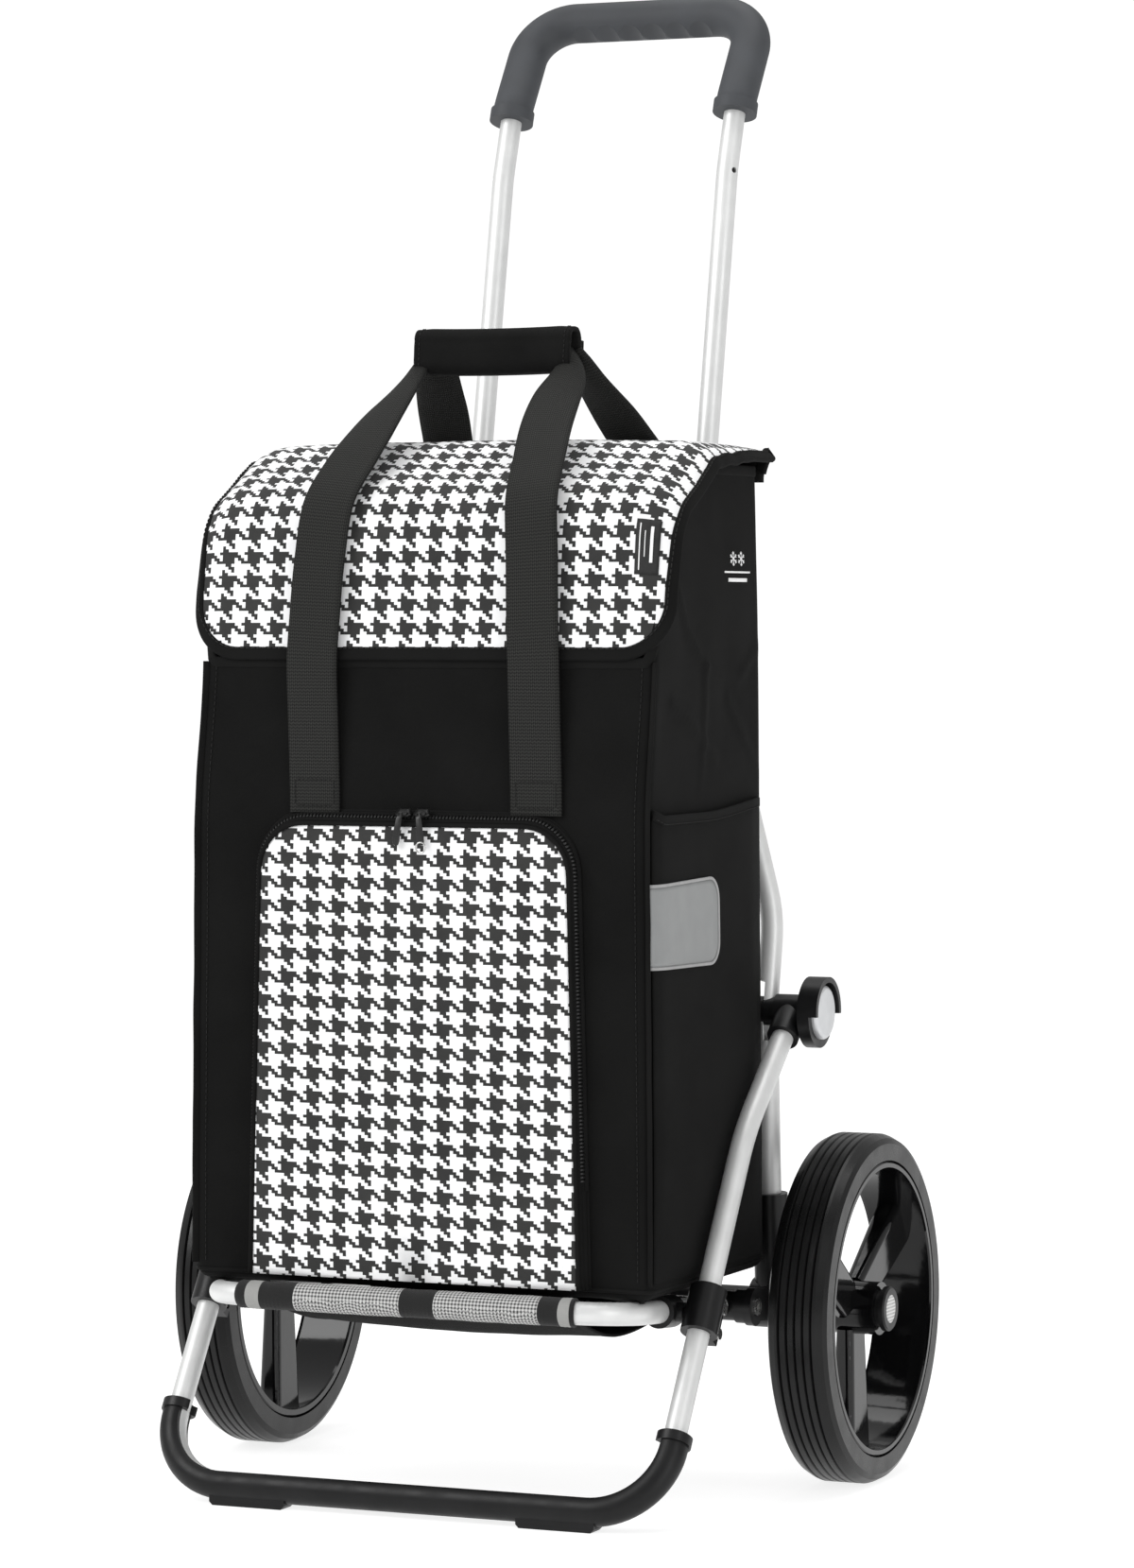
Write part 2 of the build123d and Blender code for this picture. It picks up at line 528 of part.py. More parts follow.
def make_bag():
    inner_x = BAG_HALF_W - FABRIC_T - SEAM
    front_in = BAG_FRONT_Y + FABRIC_T
    rear_in = BAG_REAR_Y - FABRIC_T
    floor = BAG_BOTTOM_Z + FABRIC_T
    put("bag_base", block(-BAG_HALF_W, BAG_HALF_W, BAG_FRONT_Y, BAG_REAR_Y, BAG_BOTTOM_Z, floor - SEAM))
    lip_z = FLAP_LOW_Z + 1
    put("bag_front", block(-inner_x, inner_x, BAG_FRONT_Y, front_in, floor, lip_z))
    put("bag_rear", block(-inner_x, inner_x, rear_in, BAG_REAR_Y, floor, BAG_MOUTH_Z))
    outline = [Vector(0, BAG_FRONT_Y, floor), Vector(0, BAG_FRONT_Y, lip_z),
               FLAP_LINE[3] + Vector(0, 10, -8), Vector(0, FLAP_LINE[2].Y - 2, BAG_MOUTH_Z),
               Vector(0, BAG_REAR_Y, BAG_MOUTH_Z), Vector(0, BAG_REAR_Y, floor)]
    for name, s in SIDES.items():
        put(f"bag_side_{name}", side_plate(outline, s * (BAG_HALF_W - FABRIC_T), s * BAG_HALF_W))
    put("base_board", block(-inner_x + 1, inner_x - 1, front_in + 1, rear_in - 1, floor, floor + BOARD_T))

    height = POCKET_TOP_Z - POCKET_BOTTOM_Z
    gusset_t = 2.0
    plane = Plane(origin=(0, BAG_FRONT_Y, POCKET_BOTTOM_Z + height / 2), x_dir=(1, 0, 0), z_dir=(0, -1, 0))

    def pocket_face(inset):
        face = Rectangle(2 * (POCKET_HALF_W - inset), height - 2 * inset)
        return fillet(face.vertices().group_by(Axis.Y)[-1], POCKET_CORNER_R - inset)

    put("pocket_gusset", extrude(plane * (pocket_face(0) - pocket_face(gusset_t)), amount=POCKET_DEEP - gusset_t))
    front_plane = plane.offset(POCKET_DEEP - gusset_t + SEAM)
    put("pocket_panel", extrude(front_plane * pocket_face(0), amount=gusset_t))

    rear = -46.0
    bottom = 190.0
    front = BAG_FRONT_Y + 7
    strips = []
    for name, s in SIDES.items():
        outer = BAG_HALF_W + SIDE_POCKET_DEEP + SIDE_POCKET_T
        tray = block(s * (BAG_HALF_W + SEAM), s * outer, front, rear, bottom, SIDE_POCKET_TOP_Z)
        tray -= block(s * BAG_HALF_W, s * (outer - SIDE_POCKET_T), front + SIDE_POCKET_T, rear - SIDE_POCKET_T,
                      bottom + SIDE_POCKET_T, SIDE_POCKET_TOP_Z + 1)
        put(f"side_pocket_{name}", tray)
        strip = block(s * (outer + SEAM), s * (outer + 0.8), front, front + REFLECTOR_L,
                      REFLECTOR_Z, REFLECTOR_Z + REFLECTOR_H)
        strips.append(fillet(strip.edges().filter_by(Axis.X).group_by(Axis.Y)[-1], 18))
    put("reflectors", Compound(children=strips))

    for name, s in SIDES.items():
        slider = block(s * 3, s * 11, BAG_FRONT_Y - POCKET_DEEP + 1, BAG_FRONT_Y - 4,
                       POCKET_TOP_Z + SLIDE, POCKET_TOP_Z + 4)
        slider += block(s * 5.5, s * 8.5, BAG_FRONT_Y - POCKET_DEEP - 2.4, BAG_FRONT_Y - POCKET_DEEP + 1,
                        POCKET_TOP_Z + 1.5, POCKET_TOP_Z + 4)
        slider += block(s * 4.5, s * 9.5, BAG_FRONT_Y - POCKET_DEEP - 2.4, BAG_FRONT_Y - POCKET_DEEP - SLIDE,
                        POCKET_TOP_Z - 20, POCKET_TOP_Z + 4)
        put(f"zip_slider_{name}", slider)


# ---- flap and carrying straps -----------------------------------------------------------------
def webbing(stations, s):
    """A strap lofted through points of its middle line; its width stays along X."""
    faces = []
    last = len(stations) - 1
    for i, (x, y, z) in enumerate(stations):
        before = Vector(*stations[max(i - 1, 0)])
        after = Vector(*stations[min(i + 1, last)])
        tangent = Vector(0, after.Y - before.Y, after.Z - before.Z).normalized()
        plane = Plane(origin=(s * x, y, z), x_dir=(1, 0, 0), z_dir=tangent)
        faces.append(plane * Rectangle(STRAP_W, STRAP_T))
    return loft(faces, ruled=True)


def make_flap():
    edge = [side(-FLAP_HALF_W, p) for p in FLAP_LINE]
    line = FilletPolyline(*edge, radius=[8, 60, 50])
    section = Plane(origin=line @ 0, x_dir=(1, 0, 0), z_dir=line % 0) * Pos(FLAP_HALF_W, 0) * Rectangle(
        2 * FLAP_HALF_W, FLAP_T)
    flap = sweep(section, path=line)
    low = flap.edges().filter_by(Axis.Y, tolerance=12).group_by(Axis.Z)[0]
    put("flap", fillet(low, FLAP_CORNER_R))

    stand_off = FLAP_T / 2 + STRAP_T / 2 + SLIDE
    rear_stations = [(74, BAG_REAR_Y - 6, 740 + stand_off), (64, -62, 768), (50, -96, 789)]
    put("rear_straps", Compound(children=[webbing(rear_stations, s) for s in SIDES.values()]))


def make_carry_handle():
    on_bag = BAG_FRONT_Y - STRAP_T / 2 - SLIDE
    stand_off = FLAP_T / 2 + STRAP_T / 2 + 2 * SLIDE
    low_end = FLAP_LINE[4]
    bend = FLAP_LINE[3]
    wrap_low = WRAP_Z - WRAP_H / 2
    stations = [(STRAP_X, on_bag, POCKET_TOP_Z + 6), (STRAP_X, on_bag - 0.2, FLAP_LOW_Z - 26),
                (STRAP_X, low_end.Y - stand_off, FLAP_LOW_Z - 8), (STRAP_X, low_end.Y - stand_off, FLAP_LOW_Z),
                (76, bend.Y - stand_off, bend.Z), (66, -186, 747), (54, WRAP_Y - 10, wrap_low - 0.6)]
    put("front_straps", Compound(children=[webbing(stations, s) for s in SIDES.values()]))
    wrap = block(-WRAP_HALF_L, WRAP_HALF_L, WRAP_Y - WRAP_D / 2, WRAP_Y + WRAP_D / 2,
                 wrap_low, wrap_low + WRAP_H)
    wrap = fillet(wrap.edges().filter_by(Axis.X), 9)
    wrap -= block(-WRAP_HALF_L - 1, WRAP_HALF_L + 1, WRAP_Y - WRAP_D / 2 + WRAP_T, WRAP_Y + WRAP_D,
                  wrap_low + WRAP_T, wrap_low + WRAP_H - WRAP_T)
    put("carry_wrap", wrap)


# ---- the folding linkage -----------------------------------------------------------------------
def turn(v, angle):
    """Rotate a side-view vector about +X."""
    return Vector(0, v.Y * cos(angle) - v.Z * sin(angle), v.Y * sin(angle) + v.Z * cos(angle))


def fold_linkage():
    """Platform angle and sleeve travel when the stand has folded right back.

    The sleeve stays at one distance from the platform's pivot and on the line of the stand's leg,
    so its travel is where that line meets that circle.
    """
    beta = radians(STAND_FOLD_DEG)
    arm = ALONG * ((SLEEVE_AT - C).dot(ALONG))
    down = turn(UP_LEG * -1, beta)
    offset = A + turn(SLEEVE_AT - A, beta) - C
    along = offset.dot(down)
    travel = -along + (along ** 2 - offset.dot(offset) + arm.dot(arm)) ** 0.5
    end = offset + down * travel
    gamma = atan2(end.Z, end.Y) - atan2(arm.Z, arm.Y)
    return degrees(gamma) % 360, travel


for side_name, sign in SIDES.items():
    make_wheel(side_name, sign)
    make_knob(side_name, sign)
make_rear_frame()
make_handle()
make_stand()
make_platform()
make_sleeves()
make_bag()
make_flap()
make_carry_handle()

whole = Compound(children=[Compound(children=[s.moved(Location()) for s in p.solids()])
                           for p in parts.values()]).bounding_box()
ORIGIN_Y = (whole.min.Y + whole.max.Y) / 2

os.makedirs("parts", exist_ok=True)
for node, shape in parts.items():
    moved = Compound(children=[s.moved(Location((0, -ORIGIN_Y, 0))) for s in shape.solids()])
    export_step(moved, f"parts/{node}.step")
print("origin moved back by", round(ORIGIN_Y, 3), "size", whole.size, "parts", len(parts))
print("platform turns (degrees) and sleeve travels (mm) at full fold:", fold_linkage())
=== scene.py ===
"""Looks for the shopping trolley: fabrics, straps, zip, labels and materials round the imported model.

Lengths in this file are millimetres with the wheel axle at y = 0, as the part is dimensioned;
at() turns them into metres of the row frame. +X is the right side seen from the front, +Y is
backwards and +Z is up.
"""
import json
import math

import bpy
import numpy as np
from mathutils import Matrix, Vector, noise


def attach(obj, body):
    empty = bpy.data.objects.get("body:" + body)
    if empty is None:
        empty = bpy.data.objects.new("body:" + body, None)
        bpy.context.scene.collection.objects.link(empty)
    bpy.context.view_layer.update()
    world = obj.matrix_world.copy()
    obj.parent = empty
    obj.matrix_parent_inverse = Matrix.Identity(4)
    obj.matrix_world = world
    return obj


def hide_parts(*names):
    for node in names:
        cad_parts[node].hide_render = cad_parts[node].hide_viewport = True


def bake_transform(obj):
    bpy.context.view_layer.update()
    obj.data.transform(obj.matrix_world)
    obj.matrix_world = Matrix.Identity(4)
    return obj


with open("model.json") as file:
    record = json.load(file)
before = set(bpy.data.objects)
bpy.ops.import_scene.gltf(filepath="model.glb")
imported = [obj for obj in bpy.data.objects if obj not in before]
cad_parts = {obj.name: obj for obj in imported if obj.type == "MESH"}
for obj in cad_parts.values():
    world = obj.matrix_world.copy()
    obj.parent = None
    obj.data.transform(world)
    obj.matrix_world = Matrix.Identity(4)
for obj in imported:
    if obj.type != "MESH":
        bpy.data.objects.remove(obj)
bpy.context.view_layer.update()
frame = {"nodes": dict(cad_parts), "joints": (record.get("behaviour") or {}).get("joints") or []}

NODES = frame["nodes"]
JOINTS = {j["name"]: j for j in frame["joints"]}
AXLE_Y = JOINTS["wheel_spin_left"]["pos_m"][1]
MM = 0.001
SIDES = {"left": -1, "right": 1}


def at(x, y, z):
    """A point of the drawing, in metres of the row frame."""
    return (x * MM, y * MM + AXLE_Y, z * MM)


# ---- camera and light ---------------------------------------------------------------------
CAMERA_PLACE = (1.5178, -3.44873, 0.61867)
CAMERA_AZIMUTH = math.radians(23.37)
CAMERA_DOWN = math.radians(1.82)
CAMERA_LENS = 119.405


def make_camera():
    data = bpy.data.cameras.new("camera")
    camera = bpy.data.objects.new("camera", data)
    bpy.context.scene.collection.objects.link(camera)
    data.lens = CAMERA_LENS
    data.sensor_width = 36.0
    data.clip_end = 100.0
    look = Vector((-math.sin(CAMERA_AZIMUTH) * math.cos(CAMERA_DOWN),
                   math.cos(CAMERA_AZIMUTH) * math.cos(CAMERA_DOWN), -math.sin(CAMERA_DOWN)))
    camera.location = CAMERA_PLACE
    camera.rotation_mode = "QUATERNION"
    camera.rotation_quaternion = look.to_track_quat("-Z", "Y")
    bpy.context.scene.camera = camera


def area_light(name, place, target, size, watts):
    data = bpy.data.lights.new(name, "AREA")
    data.shape = "RECTANGLE"
    data.size, data.size_y = size
    data.energy = watts
    light = bpy.data.objects.new(name, data)
    bpy.context.scene.collection.objects.link(light)
    light.location = place
    light.rotation_mode = "QUATERNION"
    light.rotation_quaternion = (Vector(target) - Vector(place)).to_track_quat("-Z", "Y")


def make_studio():
    scene = bpy.context.scene
    scene.view_settings.view_transform = "Standard"
    world = bpy.data.worlds.new("studio")
    world.use_nodes = True
    background = world.node_tree.nodes["Background"]
    background.inputs["Color"].default_value = (1.0, 1.0, 1.0, 1.0)
    background.inputs["Strength"].default_value = 0.55
    seen = world.node_tree.nodes.new("ShaderNodeBackground")
    seen.inputs["Color"].default_value = (1.0, 1.0, 1.0, 1.0)
    seen.inputs["Strength"].default_value = 1.05
    path = world.node_tree.nodes.new("ShaderNodeLightPath")
    mix = world.node_tree.nodes.new("ShaderNodeMixShader")
    link = world.node_tree.links.new
    link(path.outputs["Is Camera Ray"], mix.inputs[0])
    link(background.outputs[0], mix.inputs[1])
    link(seen.outputs[0], mix.inputs[2])
    link(mix.outputs[0], world.node_tree.nodes["World Output"].inputs["Surface"])
    scene.world = world
    area_light("key", (-2.2, -2.6, 2.6), (0, 0, 0.5), (2.2, 2.2), 84)
    area_light("fill", (2.8, -1.6, 1.2), (0, 0, 0.5), (0.9, 2.4), 22)
    area_light("top", (0.2, 0.4, 3.2), (0, 0, 0.4), (2.6, 2.0), 36)
    mesh = bpy.data.meshes.new("floor")
    reach = 30.0
    mesh.from_pydata([(-reach, -reach, 0), (reach, -reach, 0), (reach, reach, 0), (-reach, reach, 0)],
                     [], [(0, 1, 2, 3)])
    floor = bpy.data.objects.new("floor", mesh)
    scene.collection.objects.link(floor)
    paint = Paint("floor_white", (0.38, 0.38, 0.38), 0.9, specular=0.0)
    paint.shader.inputs["Emission Color"].default_value = (1.0, 1.0, 1.0, 1.0)
    paint.shader.inputs["Emission Strength"].default_value = 0.82
    mesh.materials.append(paint.material)


# ---- materials ------------------------------------------------------------------------------
class Paint:
    """A Principled material with the few nodes that the pieces here share."""

    def __init__(self, name, colour, roughness, metallic=0.0, specular=0.5, **sockets):
        self.material = bpy.data.materials.new(name)
        self.material.use_nodes = True
        self.tree = self.material.node_tree
        self.shader = self.tree.nodes["Principled BSDF"]
        self.shader.inputs["Base Color"].default_value = (*colour, 1.0)
        self.shader.inputs["Roughness"].default_value = roughness
        self.shader.inputs["Metallic"].default_value = metallic
        self.shader.inputs["Specular IOR Level"].default_value = specular
        for key, value in sockets.items():
            self.shader.inputs[key.replace("_", " ")].default_value = value
        self.colour = colour

    def node(self, kind, **settings):
        made = self.tree.nodes.new(kind)
        for key, value in settings.items():
            setattr(made, key, value)
        return made

    def link(self, start, end):
        self.tree.links.new(start, end)

    def put(self, socket, value):
        """Wire a node's output to a socket, or set the socket to a plain number."""
        if isinstance(value, bpy.types.NodeSocket):
            self.link(value, socket)
        else:
            socket.default_value = value

    def math(self, operation, a, b=0.0, c=0.0):
        made = self.node("ShaderNodeMath", operation=operation)
        for socket, value in zip(made.inputs, (a, b, c)):
            self.put(socket, value)
        return made.outputs[0]

    def coordinates(self, kind):
        return self.node("ShaderNodeTexCoord").outputs[kind]

    def axes(self, kind):
        """The separate numbers of a coordinate, in metres."""
        split = self.node("ShaderNodeSeparateXYZ")
        self.link(self.coordinates(kind), split.inputs[0])
        return split.outputs

    def noise(self, scale, detail=4.0, stretch=None):
        texture = self.node("ShaderNodeTexNoise")
        texture.inputs["Scale"].default_value = scale
        texture.inputs["Detail"].default_value = detail
        texture.inputs["Roughness"].default_value = 0.55
        source = self.coordinates("Object")
        if stretch:
            mapping = self.node("ShaderNodeMapping")
            mapping.inputs["Scale"].default_value = stretch
            self.link(source, mapping.inputs["Vector"])
            source = mapping.outputs[0]
        self.link(source, texture.inputs["Vector"])
        return texture.outputs["Fac"]

    def between(self, factor, low, high):
        """A number from low to high as factor goes from 0.3 to 0.7."""
        ramp = self.node("ShaderNodeMapRange")
        ramp.inputs["From Min"].default_value = 0.3
        ramp.inputs["From Max"].default_value = 0.7
        ramp.inputs["To Min"].default_value = low
        ramp.inputs["To Max"].default_value = high
        self.link(factor, ramp.inputs["Value"])
        return ramp.outputs[0]

    def blend(self, factor, first, second):
        """A colour between two, each a tuple or a node's output."""
        mix = self.node("ShaderNodeMix", data_type="RGBA")
        self.put(mix.inputs["Factor"], factor)
        for socket, value in ((mix.inputs[6], first), (mix.inputs[7], second)):
            self.put(socket, (*value, 1.0) if isinstance(value, tuple) else value)
        return mix.outputs[2]

    def mottle(self, scale, spread):
        """Colour that varies softly by +-spread."""
        dark = tuple(v * (1 - spread) for v in self.colour)
        light = tuple(min(1.0, v * (1 + spread)) for v in self.colour)
        colour = self.blend(self.between(self.noise(scale), 0.0, 1.0), dark, light)
        self.link(colour, self.shader.inputs["Base Color"])
        return self

    def vary_roughness(self, scale, low, high, stretch=None):
        self.link(self.between(self.noise(scale, stretch=stretch), low, high),
                  self.shader.inputs["Roughness"])
        return self

    def bump(self, height, depth_mm, strength=1.0):
        """Relief of the given depth from a height between 0 and 1; more calls add more relief."""
        made = self.node("ShaderNodeBump")
        made.inputs["Strength"].default_value = strength
        made.inputs["Distance"].default_value = depth_mm * MM
        self.link(height, made.inputs["Height"])
        under = self.shader.inputs["Normal"]
        if under.is_linked:
            self.link(under.links[0].from_socket, made.inputs["Normal"])
        self.link(made.outputs[0], under)
        return self

    def grain(self, scale, depth_mm, detail=3.0):
        return self.bump(self.noise(scale, detail=detail), depth_mm)

    def weave(self, pitch_x, pitch_y, depth_mm):
        """Over-and-under threads across UV, which holds millimetres as metres."""
        u, v, _ = self.axes("UV")
        waves = [self.math("SINE", self.math("MULTIPLY", axis, 2 * math.pi / (pitch * MM)))
                 for axis, pitch in ((u, pitch_x), (v, pitch_y))]
        crossing = self.math("MULTIPLY", *waves)
        return self.bump(self.math("MULTIPLY_ADD", crossing, 0.5, 0.5), depth_mm)


def black_canvas(name, value=0.0048, pitch=0.8):
    paint = Paint(name, (value, value, value * 0.97), 0.88, specular=0.12)
    paint.mottle(14, 0.28).weave(pitch, pitch, 0.12).grain(900, 0.10)
    return paint.material


def houndstooth():
    """Printed houndstooth: each repeat is 8 by 8 cells, 4 dark and 4 light each way, in a 2/2 twill."""
    period_x, period_z, cells = 20.0, 16.6, 8
    paint = Paint("houndstooth", (0.9, 0.9, 0.9), 0.82, specular=0.25, Sheen_Weight=0.08,
                  Sheen_Roughness=0.45)
    u, v, _ = paint.axes("UV")
    index = [paint.math("FLOOR", paint.math("MULTIPLY", axis, cells / (period * MM)))
             for axis, period in ((u, period_x), (v, period_z))]
    dark = [paint.math("LESS_THAN", paint.math("FLOORED_MODULO", i, cells), cells / 2) for i in index]
    twill = paint.math("FLOORED_MODULO", paint.math("ADD", *index), cells / 2)
    warp_on_top = paint.math("LESS_THAN", twill, cells / 4)
    mix = paint.node("ShaderNodeMix", data_type="FLOAT")
    for socket, value in ((0, warp_on_top), (2, dark[1]), (3, dark[0])):
        paint.put(mix.inputs[socket], value)
    worn = paint.between(paint.noise(30), 0.0, 1.0)
    white = paint.blend(worn, (0.84, 0.845, 0.85), (0.93, 0.93, 0.935))
    black = paint.blend(worn, (0.024, 0.024, 0.024), (0.036, 0.036, 0.035))
    paint.link(paint.blend(mix.outputs[0], white, black), paint.shader.inputs["Base Color"])
    paint.weave(0.9, 0.9, 0.10).grain(700, 0.08)
    return paint.material


def webbing_paint():
    """Ribbed nylon webbing: ribs run across the strap, with a fine herringbone of threads; painted shade darkens
    the grooves and a painted highlight lightens the rib tops.
    """
    paint = Paint("webbing", (0.015, 0.015, 0.014), 0.75, specular=0.2)
    u, v, _ = paint.axes("UV")
    rib, thread = 2.3, 1.5
    shift = paint.math("MULTIPLY", paint.math("PINGPONG", u, thread * MM), 0.5)
    along = paint.math("ADD", v, shift)
    wave = paint.math("SINE", paint.math("MULTIPLY", along, 2 * math.pi / (rib * MM)))
    across = paint.math("SINE", paint.math("MULTIPLY", u, 2 * math.pi / (thread * MM)))
    height = paint.math("MULTIPLY_ADD", paint.math("ADD", wave, across), 0.25, 0.5)
    # painted shade and highlight: the colour follows the rib height, darker in the grooves and lighter on the rib
    # tops
    painted_rib_shade = paint.between(height, 0.0, 1.0)
    paint.link(paint.blend(painted_rib_shade, (0.005, 0.005, 0.0048), (0.026, 0.0265, 0.0243)),
               paint.shader.inputs["Base Color"])
    paint.bump(height, 0.35).grain(900, 0.08)
    return paint.material


PLAID = ((-140, -120, 0), (-120, -110, 1), (-110, -83, 0), (-83, -2, 2), (-2, 24, 0), (24, 102, 2),
         (102, 117, 0), (117, 124, 1), (124, 140, 0))


def plaid():
    """Bands across the textile sleeve, x in UV: 0 black, 1 plain grey, 2 fine grey check."""
    paint = Paint("check_textile", (0.2, 0.2, 0.2), 0.85, specular=0.2, Sheen_Weight=0.1)
    u, v, _ = paint.axes("UV")
    x = paint.math("DIVIDE", u, MM)
    bands = {1: None, 2: None}
    for low, high, kind in PLAID:
        if kind:
            inside = paint.math("MULTIPLY", paint.math("GREATER_THAN", x, low),
                                paint.math("LESS_THAN", x, high))
            bands[kind] = inside if bands[kind] is None else paint.math("ADD", bands[kind], inside)
    cell = 2.6
    checks = [paint.math("LESS_THAN", paint.math("FLOORED_MODULO", axis, cell * MM), cell * MM / 2)
              for axis in (u, v)]
    level = paint.math("MULTIPLY_ADD", paint.math("ADD", *checks), 0.5, 0.0)
    fine = paint.blend(level, (0.055, 0.055, 0.055), (0.62, 0.62, 0.61))
    colour = paint.blend(bands[1], (0.014, 0.014, 0.014), (0.33, 0.33, 0.32))
    paint.link(paint.blend(bands[2], colour, fine), paint.shader.inputs["Base Color"])
    paint.weave(1.3, 1.3, 0.25).grain(700, 0.1)
    return paint.material


def make_materials():
    made = {}
    tube = Paint("aluminium_tube", (0.70, 0.705, 0.70), 0.42, metallic=0.35, specular=0.5)
    tube.mottle(45, 0.05).vary_roughness(60, 0.38, 0.48, stretch=(1, 1, 0.2)).grain(1400, 0.02)
    made["aluminium_tube"] = tube.material
    plastic = Paint("black_plastic", (0.0055, 0.0055, 0.0058), 0.34, specular=0.30)
    plastic.mottle(30, 0.3).vary_roughness(70, 0.30, 0.44).grain(1100, 0.04)
    made["black_plastic"] = plastic.material
    grip = Paint("grip_plastic", (0.046, 0.049, 0.054), 0.55, specular=0.35)
    grip.mottle(20, 0.25).vary_roughness(40, 0.54, 0.70).grain(1300, 0.05)
    made["grip_plastic"] = grip.material
    gloss = Paint("gloss_rim", (0.0030, 0.0030, 0.0033), 0.10, specular=0.32, Coat_Weight=0.12,
                  Coat_Roughness=0.04)
    gloss.vary_roughness(25, 0.07, 0.14).grain(160, 0.05, detail=1.0)
    made["gloss_rim"] = gloss.material
    tyre = Paint("tyre_rubber", (0.0045, 0.0045, 0.0046), 0.30, specular=0.26)
    tyre.mottle(35, 0.3).vary_roughness(50, 0.24, 0.38).grain(900, 0.05)
    made["tyre_rubber"] = tyre.material
    foot = Paint("foot_rubber", (0.0060, 0.0060, 0.0063), 0.42, specular=0.25)
    foot.mottle(40, 0.3).vary_roughness(60, 0.34, 0.52).grain(900, 0.05)
    made["foot_rubber"] = foot.material
    steel = Paint("steel", (0.60, 0.60, 0.59), 0.26, metallic=1.0)
    steel.mottle(120, 0.08).vary_roughness(200, 0.2, 0.34).grain(1600, 0.02)
    made["steel"] = steel.material
    disc = Paint("silver_disc", (0.62, 0.63, 0.64), 0.38, metallic=0.55, specular=0.5)
    disc.mottle(90, 0.05).grain(1800, 0.05)
    made["silver_disc"] = disc.material
    made["hub_disc"] = hub_disc_paint()
    made["black_fabric"] = black_canvas("black_fabric")
    made["lining"] = black_canvas("lining", 0.012, 1.2)
    made["binding"] = black_canvas("binding", 0.0062, 1.1)
    made["houndstooth"] = houndstooth()
    made["webbing"] = webbing_paint()
    made["check_textile"] = plaid()
    thread = Paint("thread", (0.016, 0.016, 0.0155), 0.7, specular=0.2).mottle(400, 0.3)
    made["thread"] = thread.material
    reflective = Paint("reflective", (0.25, 0.256, 0.256), 0.45, metallic=0.15, specular=0.4)
    reflective.mottle(60, 0.05).weave(0.7, 0.7, 0.06).grain(1200, 0.04)
    made["reflective"] = reflective.material
    mark = Paint("mark_white", (0.82, 0.82, 0.82), 0.6).mottle(300, 0.06)
    made["mark_white"] = mark.material
    label = Paint("label_black", (0.010, 0.010, 0.010), 0.55, specular=0.4)
    label.mottle(200, 0.3).weave(0.5, 0.5, 0.08)
    made["label_black"] = label.material
    zip_paint = Paint("zip_black", (0.014, 0.014, 0.014), 0.34, metallic=0.3)
    zip_paint.mottle(300, 0.3).grain(2000, 0.02)
    made["zip_black"] = zip_paint.material
    board = Paint("board", (0.09, 0.09, 0.088), 0.8, specular=0.2)
    board.mottle(80, 0.2).grain(700, 0.1)
    made["board"] = board.material
    made["reflector_edge"] = Paint("reflector_edge", (0.30, 0.30, 0.30), 0.5).mottle(200, 0.1).material
    return made


def hub_disc_paint():
    """The silver disc in the hub button, covered with small round dots."""
    paint = Paint("hub_disc", (0.66, 0.66, 0.65), 0.35, metallic=0.6)
    voronoi = paint.node("ShaderNodeTexVoronoi")
    voronoi.inputs["Scale"].default_value = 420.0
    voronoi.inputs["Randomness"].default_value = 0.0
    paint.link(paint.coordinates("Object"), voronoi.inputs["Vector"])
    dots = paint.math("LESS_THAN", voronoi.outputs["Distance"], 0.33)
    paint.link(paint.blend(dots, (0.66, 0.66, 0.65), (0.20, 0.20, 0.20)),
               paint.shader.inputs["Base Color"])
    paint.bump(dots, 0.15, 0.6)
    return paint.material


# ---- mesh tools -------------------------------------------------------------------------------
class Shape:
    """Points, faces and face-corner UVs of one piece, in millimetres of the drawing."""

    def __init__(self):
        self.points, self.faces, self.uvs = [], [], []

    def add(self, other):
        """Take in another shape's points and faces."""
        base = len(self.points)
        self.points += other.points
        self.faces += [[i + base for i in face] for face in other.faces]
        self.uvs += other.uvs

    def grid(self, points, uv=None, wrap=False, flip=False):
        """Rows of points joined by quads; wrap closes each row on itself."""
        points = np.asarray(points, float)
        rows, cols = points.shape[:2]
        if uv is None:
            uv = measured_uv(points, wrap)
        base = len(self.points)
        self.points.extend(points.reshape(-1, 3).tolist())
        for r in range(rows - 1):
            for c in range(cols if wrap else cols - 1):
                d = (c + 1) % cols
                corners = [(r, c, c), (r, d, c + 1), (r + 1, d, c + 1), (r + 1, c, c)]
                if flip:
                    corners.reverse()
                self.faces.append([base + i * cols + j for i, j, _ in corners])
                self.uvs.append([tuple(uv[i][k]) for i, _, k in corners])
        return base

    def cap(self, indices, flip=False):
        """One face over a ring of points already in the shape."""
        ring = list(reversed(indices)) if flip else list(indices)
        self.faces.append(ring)
        self.uvs.append([(self.points[i][0] * MM, self.points[i][2] * MM) for i in ring])

    def tube(self, path, profile, up, closed=False):
        """Sweep a closed profile of (across, out) points along a path, with out towards up."""
        path = np.asarray(path, float)
        rings = sweep(path, profile, up, closed)
        if closed:
            rings = np.concatenate([rings, rings[:1]])
        base = self.grid(rings, wrap=True)
        if not closed:
            n = len(profile)
            last = base + (len(path) - 1) * n
            self.cap(range(base, base + n), flip=True)
            self.cap(range(last, last + n))

    def object(self, name, materials):
        mesh = bpy.data.meshes.new(name)
        mesh.from_pydata([at(*p) for p in self.points], [], self.faces)
        layer = mesh.uv_layers.new(name="UVMap")
        flat = [corner for face in self.uvs for corner in face]
        layer.data.foreach_set("uv", np.array(flat, np.float32).ravel())
        for material in materials:
            mesh.materials.append(material)
        mesh.polygons.foreach_set("use_smooth", [True] * len(self.faces))
        mesh.update()
        made = bpy.data.objects.new(name, mesh)
        bpy.context.scene.collection.objects.link(made)
        return made


